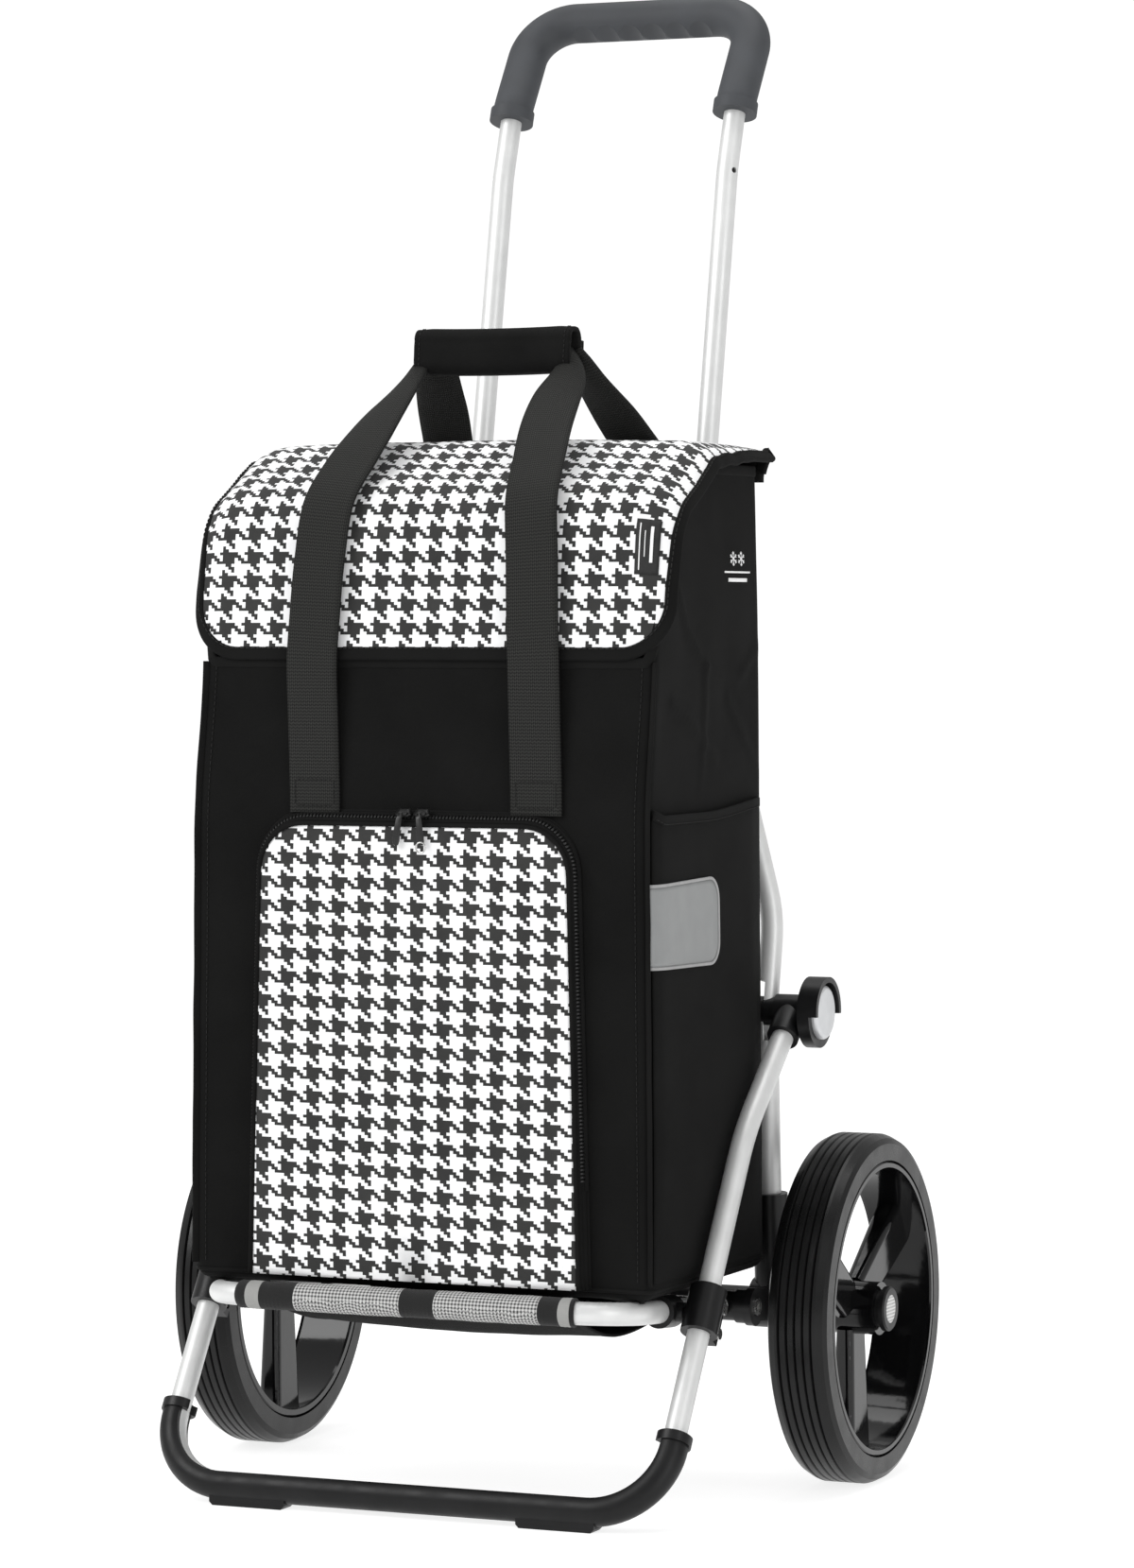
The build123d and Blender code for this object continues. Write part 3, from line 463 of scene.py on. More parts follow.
def measured_uv(points, wrap):
    """UV in metres from the mean distances between a grid's columns and rows."""
    if wrap:
        points = np.concatenate([points, points[:, :1]], axis=1)
    across = np.linalg.norm(np.diff(points, axis=1), axis=2).mean(0)
    along = np.linalg.norm(np.diff(points, axis=0), axis=2).mean(1)
    u = np.concatenate([[0], np.cumsum(across)]) * MM
    v = np.concatenate([[0], np.cumsum(along)]) * MM
    return [[(a, b) for a in u] for b in v]


def unit(v):
    v = np.asarray(v, float)
    return v / np.maximum(np.linalg.norm(v, axis=-1, keepdims=True), 1e-9)


def tangents(path, closed=False):
    if closed:
        return unit(np.roll(path, -1, 0) - np.roll(path, 1, 0))
    ahead = np.concatenate([path[1:], path[-1:]])
    behind = np.concatenate([path[:1], path[:-1]])
    return unit(ahead - behind)


def sweep(path, profile, up, closed):
    """Rings of points: profile (across, out) placed along path, out as near to up as it can be."""
    t = tangents(path, closed)
    up = np.broadcast_to(np.asarray(up, float), path.shape)
    across = unit(np.cross(t, up))
    out = np.cross(across, t)
    profile = np.asarray(profile, float)
    if profile.ndim == 2:
        profile = np.broadcast_to(profile, (len(path), *profile.shape))
    return (path[:, None] + across[:, None] * profile[..., :1] + out[:, None] * profile[..., 1:])


def circle(radius, sides):
    turns = [2 * math.pi * i / sides for i in range(sides)]
    return [(radius * math.cos(a), radius * math.sin(a)) for a in turns]


def lozenge(width, thickness, corner=0.8, steps=3):
    """A rounded rectangle as a closed profile, width across and thickness out."""
    made = []
    half_w, half_t = width / 2 - corner, thickness / 2 - corner
    for quarter, (sx, sy) in enumerate(((1, 1), (-1, 1), (-1, -1), (1, -1))):
        for i in range(steps + 1):
            a = math.pi / 2 * (quarter + i / steps)
            made.append((sx * half_w + corner * math.cos(a), sy * half_t + corner * math.sin(a)))
    return made


def rounded(points, radii, step=4.0):
    """A polyline with its inner corners rounded, sampled about every step."""
    points = [np.asarray(p, float) for p in points]
    stops = [points[0]]
    for i, radius in enumerate(radii, 1):
        a, b = unit(points[i - 1] - points[i]), unit(points[i + 1] - points[i])
        half = math.acos(float(np.clip(a @ b, -1, 1))) / 2
        back = radius / math.tan(half)
        middle = points[i] + unit(a + b) * (radius / math.sin(half))
        start, end = points[i] + a * back - middle, points[i] + b * back - middle
        turn = math.pi - 2 * half
        count = max(2, math.ceil(radius * turn / step))
        for k in range(count + 1):
            w = k / count
            stops.append(middle + (start * math.sin((1 - w) * turn) + end * math.sin(w * turn))
                         / math.sin(turn))
    stops.append(points[-1])
    dense = [stops[0]]
    for p in stops[1:]:
        length = np.linalg.norm(p - dense[-1])
        count = max(1, round(length / step))
        start = dense[-1]
        dense += [start + (p - start) * (k + 1) / count for k in range(count)]
    return np.array(dense)


def lengths(path):
    return np.concatenate([[0], np.cumsum(np.linalg.norm(np.diff(path, axis=0), axis=1))])


def along(path, s):
    """Points at distances s along a path."""
    total = lengths(path)
    return np.stack([np.interp(s, total, path[:, k]) for k in range(path.shape[1])], axis=-1)


def spline(stations, count):
    """Smooth values through a table of stations, by Catmull-Rom in the station index."""
    table = np.asarray(stations, float)
    padded = np.concatenate([2 * table[:1] - table[1:2], table, 2 * table[-1:] - table[-2:-1]])
    made = []
    for t in np.linspace(0, len(table) - 1, count):
        i = min(int(t), len(table) - 2)
        f = t - i
        p0, p1, p2, p3 = padded[i:i + 4]
        made.append(0.5 * (2 * p1 + (p2 - p0) * f + (2 * p0 - 5 * p1 + 4 * p2 - p3) * f * f
                           + (3 * p1 - p0 - 3 * p2 + p3) * f ** 3))
    return np.array(made)


def ripple(x, y, z, size, seed=0.0):
    """Soft noise from -1 to 1 with lumps of about the given size in millimetres."""
    return noise.noise(Vector((x / size + seed, y / size - seed, z / size + 2 * seed)))


def smooth_step(value, low, high):
    t = min(max((value - low) / (high - low), 0.0), 1.0)
    return t * t * (3 - 2 * t)


def solidify(obj, thickness, inner=0, rim=0, offset=-1.0):
    """Give a sheet its thickness, below its outside face; inner and rim shift the material slot."""
    modifier = obj.modifiers.new("cloth thickness", "SOLIDIFY")
    modifier.thickness = thickness * MM
    modifier.offset = offset
    modifier.material_offset = inner
    modifier.material_offset_rim = rim
    modifier.use_even_offset = False


def stitches(path, normals, pitch=4.2, length=2.8, radius=0.42, lift=0.15):
    """A row of thread dashes lying on a path."""
    shape = Shape()
    total = lengths(path)[-1]
    s = pitch / 2
    while s < total - length:
        ends = along(path, np.array([s, s + length / 2, s + length]))
        out = unit(normal_at(path, normals, s + length / 2))
        ends = ends + out * lift
        ends[1] = ends[1] + out * radius * 0.7
        shape.tube(ends, circle(radius, 5), up=out)
        s += pitch
    return shape


def face_away(obj, *centre):
    """Turn a piece's faces so that they look away from a point of the drawing."""
    middle = Vector(at(*centre))
    mesh = obj.data
    if sum(p.normal.dot(p.center - middle) * p.area for p in mesh.polygons) < 0:
        mesh.flip_normals()


def normal_at(path, normals, s):
    """The way out of the cloth at distance s along a path."""
    total = lengths(path)
    return np.array([np.interp(s, total, normals[:, k]) for k in range(3)])


LEAN = 6.5               # how far the bag's front top stands to the right
LEAN_LOW, LEAN_HIGH = 470.0, 600.0
LEAN_END_LOW, LEAN_END_HIGH = 725.0, 790.0
FRONT_Y, REAR_Y = -243.0, -24.0
STRAPS = ("front_strap", "strap_stitches")


def lean(obj):
    """The soft bag's front top stands a little to the right; the straps follow it all along."""
    for vertex in obj.data.vertices:
        y, z = (vertex.co.y - AXLE_Y) / MM, vertex.co.z / MM
        forward = min(max((REAR_Y - y) / (REAR_Y - FRONT_Y), 0), 1)
        high = 1.0 if obj.name.startswith(STRAPS) else smooth_step(z, LEAN_LOW, LEAN_HIGH)
        vertex.co.x += LEAN * MM * forward * high * (1 - smooth_step(z, LEAN_END_LOW, LEAN_END_HIGH))


def finish_piece(obj, body, replaces=()):
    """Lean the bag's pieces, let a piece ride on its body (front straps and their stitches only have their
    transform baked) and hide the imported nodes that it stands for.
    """
    if body in ("bag", "lid", "carry_handle"):
        lean(obj)
    if obj.name.startswith(STRAPS):
        bend_at_foot(obj)
    else:
        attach(obj, body)
    if replaces:
        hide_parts(*replaces)


# ---- the bag's shell ----------------------------------------------------------------------------
BOTTOM_Z, LIP_Z, MOUTH_Z = 154.2, 591.0, 726.0
FRONT_CORNER, REAR_CORNER, BOTTOM_ROUND = 8.0, 14.0, 9.0
MOUTH_LINE = ((-243.0, LIP_Z), (-222.0, 689.0), (-152.0, MOUTH_Z), (REAR_Y, MOUTH_Z))
WIDTHS = ((150, 174.5), (250, 174.0), (400, 172.5), (600, 171.0), (727, 168.0))
CREASES = (((-196, 644), (-174, 609), (-139, 586), (-76, 575), (-30, 600)),
           ((-139, 586), (-142, 540), (-150, 500)),
           ((-94, 562), (-60, 530), (-30, 505)),
           ((-205, 560), (-165, 545), (-120, 520)))


def half_width(z):
    zs, ws = zip(*WIDTHS)
    return float(np.interp(z, zs, ws))


def mouth_height(y):
    ys, zs = zip(*MOUTH_LINE)
    return float(np.interp(y, ys, zs))


def crease(y, z):
    """Relief of the folds pressed into the bag's sides, above the side pockets."""
    height = 0.0
    for line in CREASES:
        nearest = 1e9
        for (y0, z0), (y1, z1) in zip(line, line[1:]):
            dy, dz = y1 - y0, z1 - z0
            t = min(max(((y - y0) * dy + (z - z0) * dz) / (dy * dy + dz * dz), 0), 1)
            nearest = min(nearest, math.hypot(y - y0 - t * dy, z - z0 - t * dz))
        height += math.exp(-(nearest / 5.0) ** 2) * 1.7 - math.exp(-(nearest / 14.0) ** 2) * 0.9
    return height


def front_relief(x, z):
    """How far the front panel stands out of its plane."""
    edge = 1 - smooth_step(abs(x), 150, 172)
    belly = 0.7 * edge * smooth_step(z, 160, 260) * (1 - smooth_step(z, 520, 590))
    low = 1 - smooth_step(z, 170, 330)
    return belly + edge * (0.35 + 0.75 * low) * ripple(x, 0, z, 62, 3.1) + 0.12 * ripple(x, 0, z, 17, 9.0)


def side_relief(y, z, sign):
    edge = smooth_step(y, FRONT_Y, FRONT_Y + 26) * (1 - smooth_step(y, REAR_Y - 30, REAR_Y))
    high = smooth_step(z, 470, 560)
    swell = (1.4 - 2.4 * high) * edge
    wave = (0.5 + 1.1 * high) * ripple(40 * sign, y, z, 55, 5.7) * edge
    return swell + wave + edge * high * crease(y, z)


def rear_relief(x, z):
    edge = 1 - smooth_step(abs(x), 140, 165)
    return edge * (0.5 * ripple(x, 50, z, 70, 1.3) - 0.6)


def shell_ring(z, columns):
    """The bag's outline at a height, as points with their outward directions."""
    w = half_width(z)
    ring = []
    for kind, s, t in columns:
        if kind == "front":
            ring.append((t * (w - FRONT_CORNER), FRONT_Y, 0.0, -1.0))
        elif kind == "front_corner":
            a = t * math.pi / 2
            ring.append((s * (w - FRONT_CORNER * (1 - math.sin(a))),
                         FRONT_Y + FRONT_CORNER * (1 - math.cos(a)), s * math.sin(a), -math.cos(a)))
        elif kind == "side":
            ring.append((s * w, FRONT_Y + FRONT_CORNER + t * (REAR_Y - REAR_CORNER - FRONT_Y - FRONT_CORNER),
                         float(s), 0.0))
        elif kind == "rear_corner":
            a = t * math.pi / 2
            ring.append((s * (w - REAR_CORNER * (1 - math.cos(a))),
                         REAR_Y - REAR_CORNER * (1 - math.sin(a)), s * math.cos(a), math.sin(a)))
        else:
            ring.append((t * (w - REAR_CORNER), REAR_Y, 0.0, 1.0))
    return ring


def shell_columns():
    """Stations once round the bag, anticlockwise seen from above, from the middle of the rear."""
    columns = [("rear", 0, -t) for t in np.linspace(0, 1, 13)[:-1]]
    columns += [("rear_corner", -1, t) for t in np.linspace(1, 0, 5)[:-1]]
    columns += [("side", -1, t) for t in np.linspace(1, 0, 50)[:-1]]
    columns += [("front_corner", -1, t) for t in np.linspace(1, 0, 5)[:-1]]
    columns += [("front", 0, t) for t in np.linspace(-1, 1, 72)[:-1]]
    columns += [("front_corner", 1, t) for t in np.linspace(0, 1, 5)[:-1]]
    columns += [("side", 1, t) for t in np.linspace(0, 1, 50)[:-1]]
    columns += [("rear_corner", 1, t) for t in np.linspace(0, 1, 5)[:-1]]
    columns += [("rear", 0, t) for t in np.linspace(1, 0, 13)]
    return columns[:-1]


def shell_point(x, y, z, nx, ny):
    """A point of the outline, moved out by the panel's relief."""
    sign = 1 if x > 0 else -1
    out = front_relief(x, z) * max(-ny, 0) + side_relief(y, z, sign) * abs(nx) + rear_relief(x, z) * max(ny, 0)
    return x + nx * out, y + ny * out, z


def make_bag_shell(paints):
    columns = shell_columns()
    rows, uvs = [], []
    levels = np.linspace(0, 1, 118)
    girth = [0.0]
    base_ring = shell_ring(300, columns)
    for a, b in zip(base_ring, base_ring[1:] + base_ring[:1]):
        girth.append(girth[-1] + math.hypot(b[0] - a[0], b[1] - a[1]))
    steps = 5
    for k in range(steps):
        a = math.pi / 2 * k / steps
        inset = BOTTOM_ROUND * (1 - math.sin(a))
        z = BOTTOM_Z + BOTTOM_ROUND * (1 - math.cos(a))
        ring = shell_ring(BOTTOM_Z + BOTTOM_ROUND, columns)
        rows.append([(x - nx * inset, y - ny * inset, z) for x, y, nx, ny in ring])
        uvs.append([(g * MM, (z - inset) * MM) for g in girth])
    for level in levels:
        row, uv = [], []
        for (kind, s, t), g in zip(columns, girth):
            y_here = shell_ring(400, [(kind, s, t)])[0][1]
            z = BOTTOM_Z + BOTTOM_ROUND + level * (mouth_height(y_here) - BOTTOM_Z - BOTTOM_ROUND)
            x, y, nx, ny = shell_ring(z, [(kind, s, t)])[0]
            row.append(shell_point(x, y, z, nx, ny))
            uv.append((g * MM, z * MM))
        rows.append(row)
        uvs.append([*uv, (girth[-1] * MM, uv[0][1])])
    shape = Shape()
    shape.grid(rows, uvs, wrap=True)
    first = np.array(rows[0])
    centre = np.array([0.0, (FRONT_Y + REAR_Y) / 2, BOTTOM_Z])
    inner = [first]
    for share in np.linspace(1, 0.04, 14)[1:]:
        sag = 2.2 * (1 - share ** 2)
        inner.append(centre + (first - centre) * share - np.array([0, 0, sag]))
    base = shape.grid(inner, wrap=True, flip=True)
    n = len(columns)
    last = base + (len(inner) - 1) * n
    shape.cap(range(last, last + n), flip=True)
    shell = shape.object("bag_shell", [paints["black_fabric"], paints["lining"]])
    face_away(shell, 0, (FRONT_Y + REAR_Y) / 2, 440)
    modifier = shell.modifiers.new("weld", "WELD")
    modifier.merge_threshold = 0.00002
    solidify(shell, 2.6, inner=1)
    finish_piece(shell, "bag",
                 ["bag_front", "bag_rear", "bag_base", "bag_side_left", "bag_side_right"])
    return columns


def make_bag_edges(paints, columns):
    """Corner flanges down the front, the bottom piping and the hem round the mouth."""
    flange = lozenge(2.0, 6.0, 0.8)
    for name, s in SIDES.items():
        levels = np.linspace(BOTTOM_Z + BOTTOM_ROUND + 2, LIP_Z - 2, 90)
        path, out = [], []
        for z in levels:
            x, y, nx, ny = shell_ring(z, [("front_corner", s, 0.5)])[0]
            wobble = 0.5 * ripple(s * 30, 0, z, 34, 2.2)
            path.append((x + nx * 1.6 + s * wobble, y + ny * 1.6, z))
            out.append((nx + 0.25 * s * wobble, ny, 0))
        shape = Shape()
        shape.tube(path, flange, up=out)
        edge = shape.object(f"corner_flange_{name}", [paints["binding"]])
        finish_piece(edge, "bag")
        line = [(s * (half_width(z) - 9.5), FRONT_Y - front_relief(s * (half_width(z) - 9.5), z) - 0.3, z)
                for z in levels]
        sewn = stitches(np.array(line), np.array([(0.0, -1.0, 0.0)] * len(line)), radius=0.3)
        thread = sewn.object(f"corner_stitches_{name}", [paints["thread"]])
        finish_piece(thread, "bag")

    ring = shell_ring(BOTTOM_Z + BOTTOM_ROUND, columns)
    path = [(x - nx * 0.5, y - ny * 0.5, BOTTOM_Z + BOTTOM_ROUND * 0.75) for x, y, nx, ny in ring]
    shape = Shape()
    shape.tube(path, circle(1.5, 8), up=[(nx, ny, 0) for _, _, nx, ny in ring], closed=True)
    finish_piece(shape.object("bottom_piping", [paints["binding"]]), "bag")

    path, out = [], []
    for kind, s, t in columns:
        y_here = shell_ring(400, [(kind, s, t)])[0][1]
        z = mouth_height(y_here)
        x, y, nx, ny = shell_ring(z, [(kind, s, t)])[0]
        x, y, z = shell_point(x, y, z, nx, ny)
        path.append((x - nx * 1.3, y - ny * 1.3, z - 2.5))
        out.append((nx, ny, 0))
    shape = Shape()
    shape.tube(path, lozenge(8.0, 4.6, 1.4), up=out, closed=True)
    finish_piece(shape.object("mouth_hem", [paints["binding"]]), "bag")


# ---- front pocket and its zip ---------------------------------------------------------------------
POCKET_WIDTHS = ((160, 125.0), (300, 121.0), (480, 116.5))
POCKET_LOW, POCKET_HIGH, POCKET_ROUND = 161.0, 477.0, 34.0
POCKET_FACE_Y = -253.6
BAND_BACK_Y = -243.6
BAND_FLARE = 8.5
BAND_FLARE_SIDE = 4.5


def pocket_outline(inset, step=5.0):
    """The pocket's edge from bottom left, over the top, to bottom right; rows of x and z."""
    zs, ws = zip(*POCKET_WIDTHS)
    low_w = float(np.interp(POCKET_LOW, zs, ws)) - inset
    top_w = float(np.interp(POCKET_HIGH, zs, ws)) - inset
    top = POCKET_HIGH - inset
    corners = [(-low_w, POCKET_LOW), (-top_w, top), (top_w, top), (low_w, POCKET_LOW)]
    return rounded(corners, [POCKET_ROUND - inset * 0.5] * 2, step)


def pocket_relief(x, z):
    u = min(abs(x) / 120, 1)
    crown = 2.2 * (1 - u ** 4) * smooth_step(z, POCKET_LOW - 10, POCKET_LOW + 60)
    crown *= 1 - smooth_step(z, POCKET_HIGH - 30, POCKET_HIGH + 12)
    return crown + 0.45 * ripple(x, 7, z, 58, 4.4)


def make_pocket(paints):
    outline = pocket_outline(0)
    s = np.linspace(0, lengths(outline)[-1], 150)
    edge = along(outline, s)
    shares = [1.0, 0.988, 0.965, 0.93, 0.88, 0.8, 0.7, 0.58, 0.44, 0.3, 0.15, 0.0]
    rows = []
    for share in shares:
        row = []
        for x, z in edge:
            px = x * share
            pz = POCKET_LOW + (z - POCKET_LOW) * share if share < 1 else z
            drop = 1.6 * (1 - min((1 - share) * 28, 1)) ** 2
            row.append((px, POCKET_FACE_Y - pocket_relief(px, pz) + drop, pz))
        rows.append(row)
    uvs = [[(x * MM, z * MM) for x, _, z in row] for row in rows]
    shape = Shape()
    shape.grid(rows, uvs)
    panel = shape.object("pocket_panel_cloth", [paints["houndstooth"], paints["lining"]])
    face_away(panel, 0, REAR_Y, 320)
    panel.modifiers.new("weld", "WELD").merge_threshold = 0.00002
    solidify(panel, 1.6, inner=1, rim=1)
    finish_piece(panel, "bag", ["pocket_panel"])

    back, front = [], []
    for (x, z), (tx, tz) in zip(edge, tangents(edge)):
        nx, nz = -tz, tx
        flare = BAND_FLARE * max(nz, 0) ** 2 + BAND_FLARE_SIDE * abs(nx) ** 2
        front.append((x, POCKET_FACE_Y + 1.5, z, nx, nz))
        back.append((x + nx * flare, BAND_BACK_Y, z + nz * flare))
    band_rows = []
    for share in (0.0, 0.16, 0.3, 0.42, 0.5, 0.58, 0.7, 0.84, 1.0):
        bulge = 1.3 * math.sin(math.pi * share)
        groove = -1.1 * math.exp(-((share - 0.5) / 0.09) ** 2)
        band_rows.append([(f[0] + (b[0] - f[0]) * share + f[3] * (bulge + groove),
                           f[1] + (b[1] - f[1]) * share - 0.5 * (bulge + groove),
                           f[2] + (b[2] - f[2]) * share + f[4] * (bulge + groove))
                          for f, b in zip(front, back)])
    shape = Shape()
    shape.grid(band_rows, flip=True)
    band = shape.object("pocket_band", [paints["binding"], paints["lining"]])
    face_away(band, 0, REAR_Y, 320)
    solidify(band, 1.4, inner=1)
    finish_piece(band, "bag", ["pocket_gusset"])

    front_line = [(x, POCKET_FACE_Y + 0.6, z) for x, z in edge]
    for name, line, radius in (("front", front_line, 1.7), ("back", back, 1.3)):
        shape = Shape()
        shape.tube(line, circle(radius, 8), up=(0, -1, 0))
        finish_piece(shape.object(f"pocket_piping_{name}", [paints["binding"]]), "bag")

    middle = np.array(band_rows[4])
    normals = unit(np.array([(f[3], -0.8, f[4]) for f in front]))
    total = lengths(middle)[-1]
    zip_ends = 72.0
    teeth = Shape()
    pitch, s = 2.6, zip_ends
    while s < total - zip_ends:
        line = along(middle, np.array([s - 0.7, s + 0.7]))
        out = unit(normal_at(middle, normals, s))
        teeth.tube(line + out * 0.9, lozenge(3.6, 1.3, 0.4, 1), up=out)
        s += pitch
    finish_piece(teeth.object("zip_teeth", [paints["zip_black"]]), "bag")
    tapes = Shape()
    for shift in (-3.4, 3.4):
        keep = [i for i, d in enumerate(lengths(middle)) if zip_ends - 6 < d < total - zip_ends + 6]
        path = middle[keep]
        out = normals[keep]
        sideways = unit(np.cross(tangents(path), out))
        tapes.tube(path + sideways * shift + out * 0.6, lozenge(3.4, 1.0, 0.4, 1), up=out)
    finish_piece(tapes.object("zip_tapes", [paints["binding"]]), "bag")


def make_zip_sliders(paints):
    """Two sliders that meet at the middle of the pocket's top, with hanging pulls."""
    for name, s in SIDES.items():
        x = s * 7.0
        shape = Shape()
        body = [(x - 5.0, -249.6, 485.0), (x - 2.5, -250.4, 484.6), (x, -250.6, 484.6),
                (x + 2.5, -250.4, 484.6), (x + 5.0, -249.6, 485.0)]
        shape.tube(body, lozenge(6.4, 3.6, 1.2), up=(0, -0.8, 0.6))
        bridge = [(x - 3.4, -252.2, 484.0), (x - 2.6, -253.8, 484.4), (x, -254.6, 484.6),
                  (x + 2.6, -253.8, 484.4), (x + 3.4, -252.2, 484.0)]
        shape.tube(bridge, lozenge(2.2, 1.2, 0.4), up=(0, -1, 0))
        tilt = 2.4 * s
        pull = [(x, -256.6, 484.6), (x + tilt * 0.2, -257.8, 481.0), (x + tilt * 0.6, -258.6, 474.0),
                (x + tilt, -258.8, 466.0), (x + tilt * 1.1, -258.6, 463.0)]
        widths = (2.6, 4.4, 4.8, 5.4, 3.6)
        shape.tube(pull, [lozenge(w, 1.5, 0.6) for w in widths], up=(0, -1, 0))
        slider = shape.object(f"zip_pull_{name}", [paints["zip_black"]])
        finish_piece(slider, f"zip_slider_{name}", [f"zip_slider_{name}"])
    shape = Shape()
    ring = [(9.8 + 3.6 * math.cos(a), -259.8, 461.5 + 3.6 * math.sin(a))
            for a in np.linspace(0, 2 * math.pi, 20)[:-1]]
    shape.tube(ring, circle(0.55, 6), up=(0, -1, 0), closed=True)
    finish_piece(shape.object("zip_ring", [paints["steel"]]), "zip_slider_right")


# ---- side pockets, reflectors and marks -----------------------------------------------------------
SIDE_POCKET_FRONT, SIDE_POCKET_REAR = -238.5, -40.0
SIDE_POCKET_LOW, SIDE_POCKET_HIGH = 166.0, 486.0


def side_pocket_x(y, z, s):
    """Outer face of a side pocket, a little out from the bag's side."""
    lift = 3.0 * smooth_step(y, -246, -226) * (1 - smooth_step(y, -64, SIDE_POCKET_REAR + 4))
    lift *= 0.35 + 0.65 * smooth_step(z, SIDE_POCKET_LOW, 250)
    base = half_width(z)
    corner = FRONT_Y + FRONT_CORNER
    if y < corner:
        base -= FRONT_CORNER - math.sqrt(max(FRONT_CORNER ** 2 - (corner - y) ** 2, 0))
    return s * (base + 0.5 + side_relief(y, min(z, 470), s) * 0.8 + lift
                + 0.5 * ripple(s * 20, y, z, 48, 7.7) * smooth_step(y, -240, -215))


def side_top(y):
    return SIDE_POCKET_HIGH + 7.0 * smooth_step(y, -150, -30) - 4.0 * smooth_step(y, -240, -225) + 2.0


def make_side_pockets(paints):
    ys = np.concatenate([np.linspace(SIDE_POCKET_FRONT, -222, 10)[:-1],
                         np.linspace(-222, SIDE_POCKET_REAR, 46)])
    levels = np.linspace(0, 1, 64)
    for name, s in SIDES.items():
        rows = [[(side_pocket_x(y, SIDE_POCKET_LOW + k * (side_top(y) - SIDE_POCKET_LOW), s), y,
                  SIDE_POCKET_LOW + k * (side_top(y) - SIDE_POCKET_LOW)) for y in ys] for k in levels]
        uvs = [[(y * MM, z * MM) for _, y, z in row] for row in rows]
        shape = Shape()
        shape.grid(rows, uvs, flip=s < 0)
        panel = shape.object(f"side_pocket_cloth_{name}", [paints["black_fabric"]])
        face_away(panel, 0, -140, 330)
        solidify(panel, 1.0)
        finish_piece(panel, "bag", [f"side_pocket_{name}"])
        hem = np.array(rows[-1]) + np.array([s * 0.2, 0, -2.6])
        shape = Shape()
        shape.tube(hem, lozenge(7.0, 2.6, 1.0), up=(s, 0, 0))
        finish_piece(shape.object(f"side_pocket_hem_{name}", [paints["binding"]]), "bag")
        line = np.array(rows[-1]) + np.array([s * 1.6, 0, -5.2])
        sewn = stitches(line, np.array([(s, 0.0, 0.0)] * len(line)), radius=0.3)
        finish_piece(sewn.object(f"side_pocket_stitches_{name}", [paints["thread"]]), "bag")


REFLECTOR_REAR, REFLECTOR_LOW, REFLECTOR_HIGH, REFLECTOR_ROUND = -129.0, 381.0, 437.0, 15.0


def make_reflectors(paints):
    """A silver strip on each side pocket, rounded at its rear end, with a sewn border."""
    front = SIDE_POCKET_FRONT - 2.5
    corners = [(front, REFLECTOR_HIGH), (REFLECTOR_REAR, REFLECTOR_HIGH + 2),
               (REFLECTOR_REAR, REFLECTOR_LOW - 2), (front, REFLECTOR_LOW)]
    outline = rounded(corners, [REFLECTOR_ROUND, REFLECTOR_ROUND], 3.0)
    middle_z = (REFLECTOR_LOW + REFLECTOR_HIGH) / 2
    upper = outline[:len(outline) // 2]
    for name, s in SIDES.items():
        rows = []
        for k in np.linspace(-1, 1, 15):
            row = []
            for y, z in upper:
                height = middle_z + k * (z - middle_z)
                row.append((side_pocket_x(y, height, s) + s * 0.7, y, height))
            rows.append(row)
        shape = Shape()
        shape.grid(rows, [[(y * MM, z * MM) for _, y, z in row] for row in rows], flip=s < 0)
        strip = shape.object(f"reflector_strip_{name}", [paints["reflective"]])
        face_away(strip, 0, -180, 409)
        solidify(strip, 0.6)
        finish_piece(strip, "bag", ["reflectors"] if s > 0 else [])
        border = np.array([(side_pocket_x(y, z, s) + s * 0.9, y, z) for y, z in outline])
        shape = Shape()
        shape.tube(border, lozenge(2.2, 1.2, 0.5, 2), up=(s, 0, 0))
        finish_piece(shape.object(f"reflector_border_{name}", [paints["reflector_edge"]]), "bag")


def make_marks(paints):
    """Two snowflakes over a bar, printed on the right side near the flap."""
    shape = Shape()
    height, arm_long, fork_at, fork_long, wide = 661, 5.2, 2.9, 1.9, 1.25

    def dash(y0, z0, y1, z1, width):
        steps = [k / 5 for k in range(6)]
        line = [(y0 + (y1 - y0) * k, z0 + (z1 - z0) * k) for k in steps]
        line = [(half_width(z) + side_relief(y, z, 1) + 0.25, y, z) for y, z in line]
        shape.tube(line, lozenge(width, 0.3, 0.1, 1), up=(1, 0, 0))

    for centre in (-82.5, -67.5):
        for arm in range(6):
            a = math.pi / 3 * arm + math.pi / 6
            dy, dz = math.cos(a) * wide, math.sin(a)
            dash(centre, height, centre + dy * arm_long, height + dz * arm_long, 0.9)
            y, z = centre + dy * fork_at, height + dz * fork_at
            for turn in (-0.7, 0.7):
                ty, tz = math.cos(a + turn) * wide, math.sin(a + turn)
                dash(y, z, y + ty * fork_long, z + tz * fork_long, 0.7)
    dash(-101, 651.5, -50, 651.5, 1.3)
    dash(-94, 646.0, -57, 646.0, 2.6)
    finish_piece(shape.object("snow_mark", [paints["mark_white"]]), "bag")


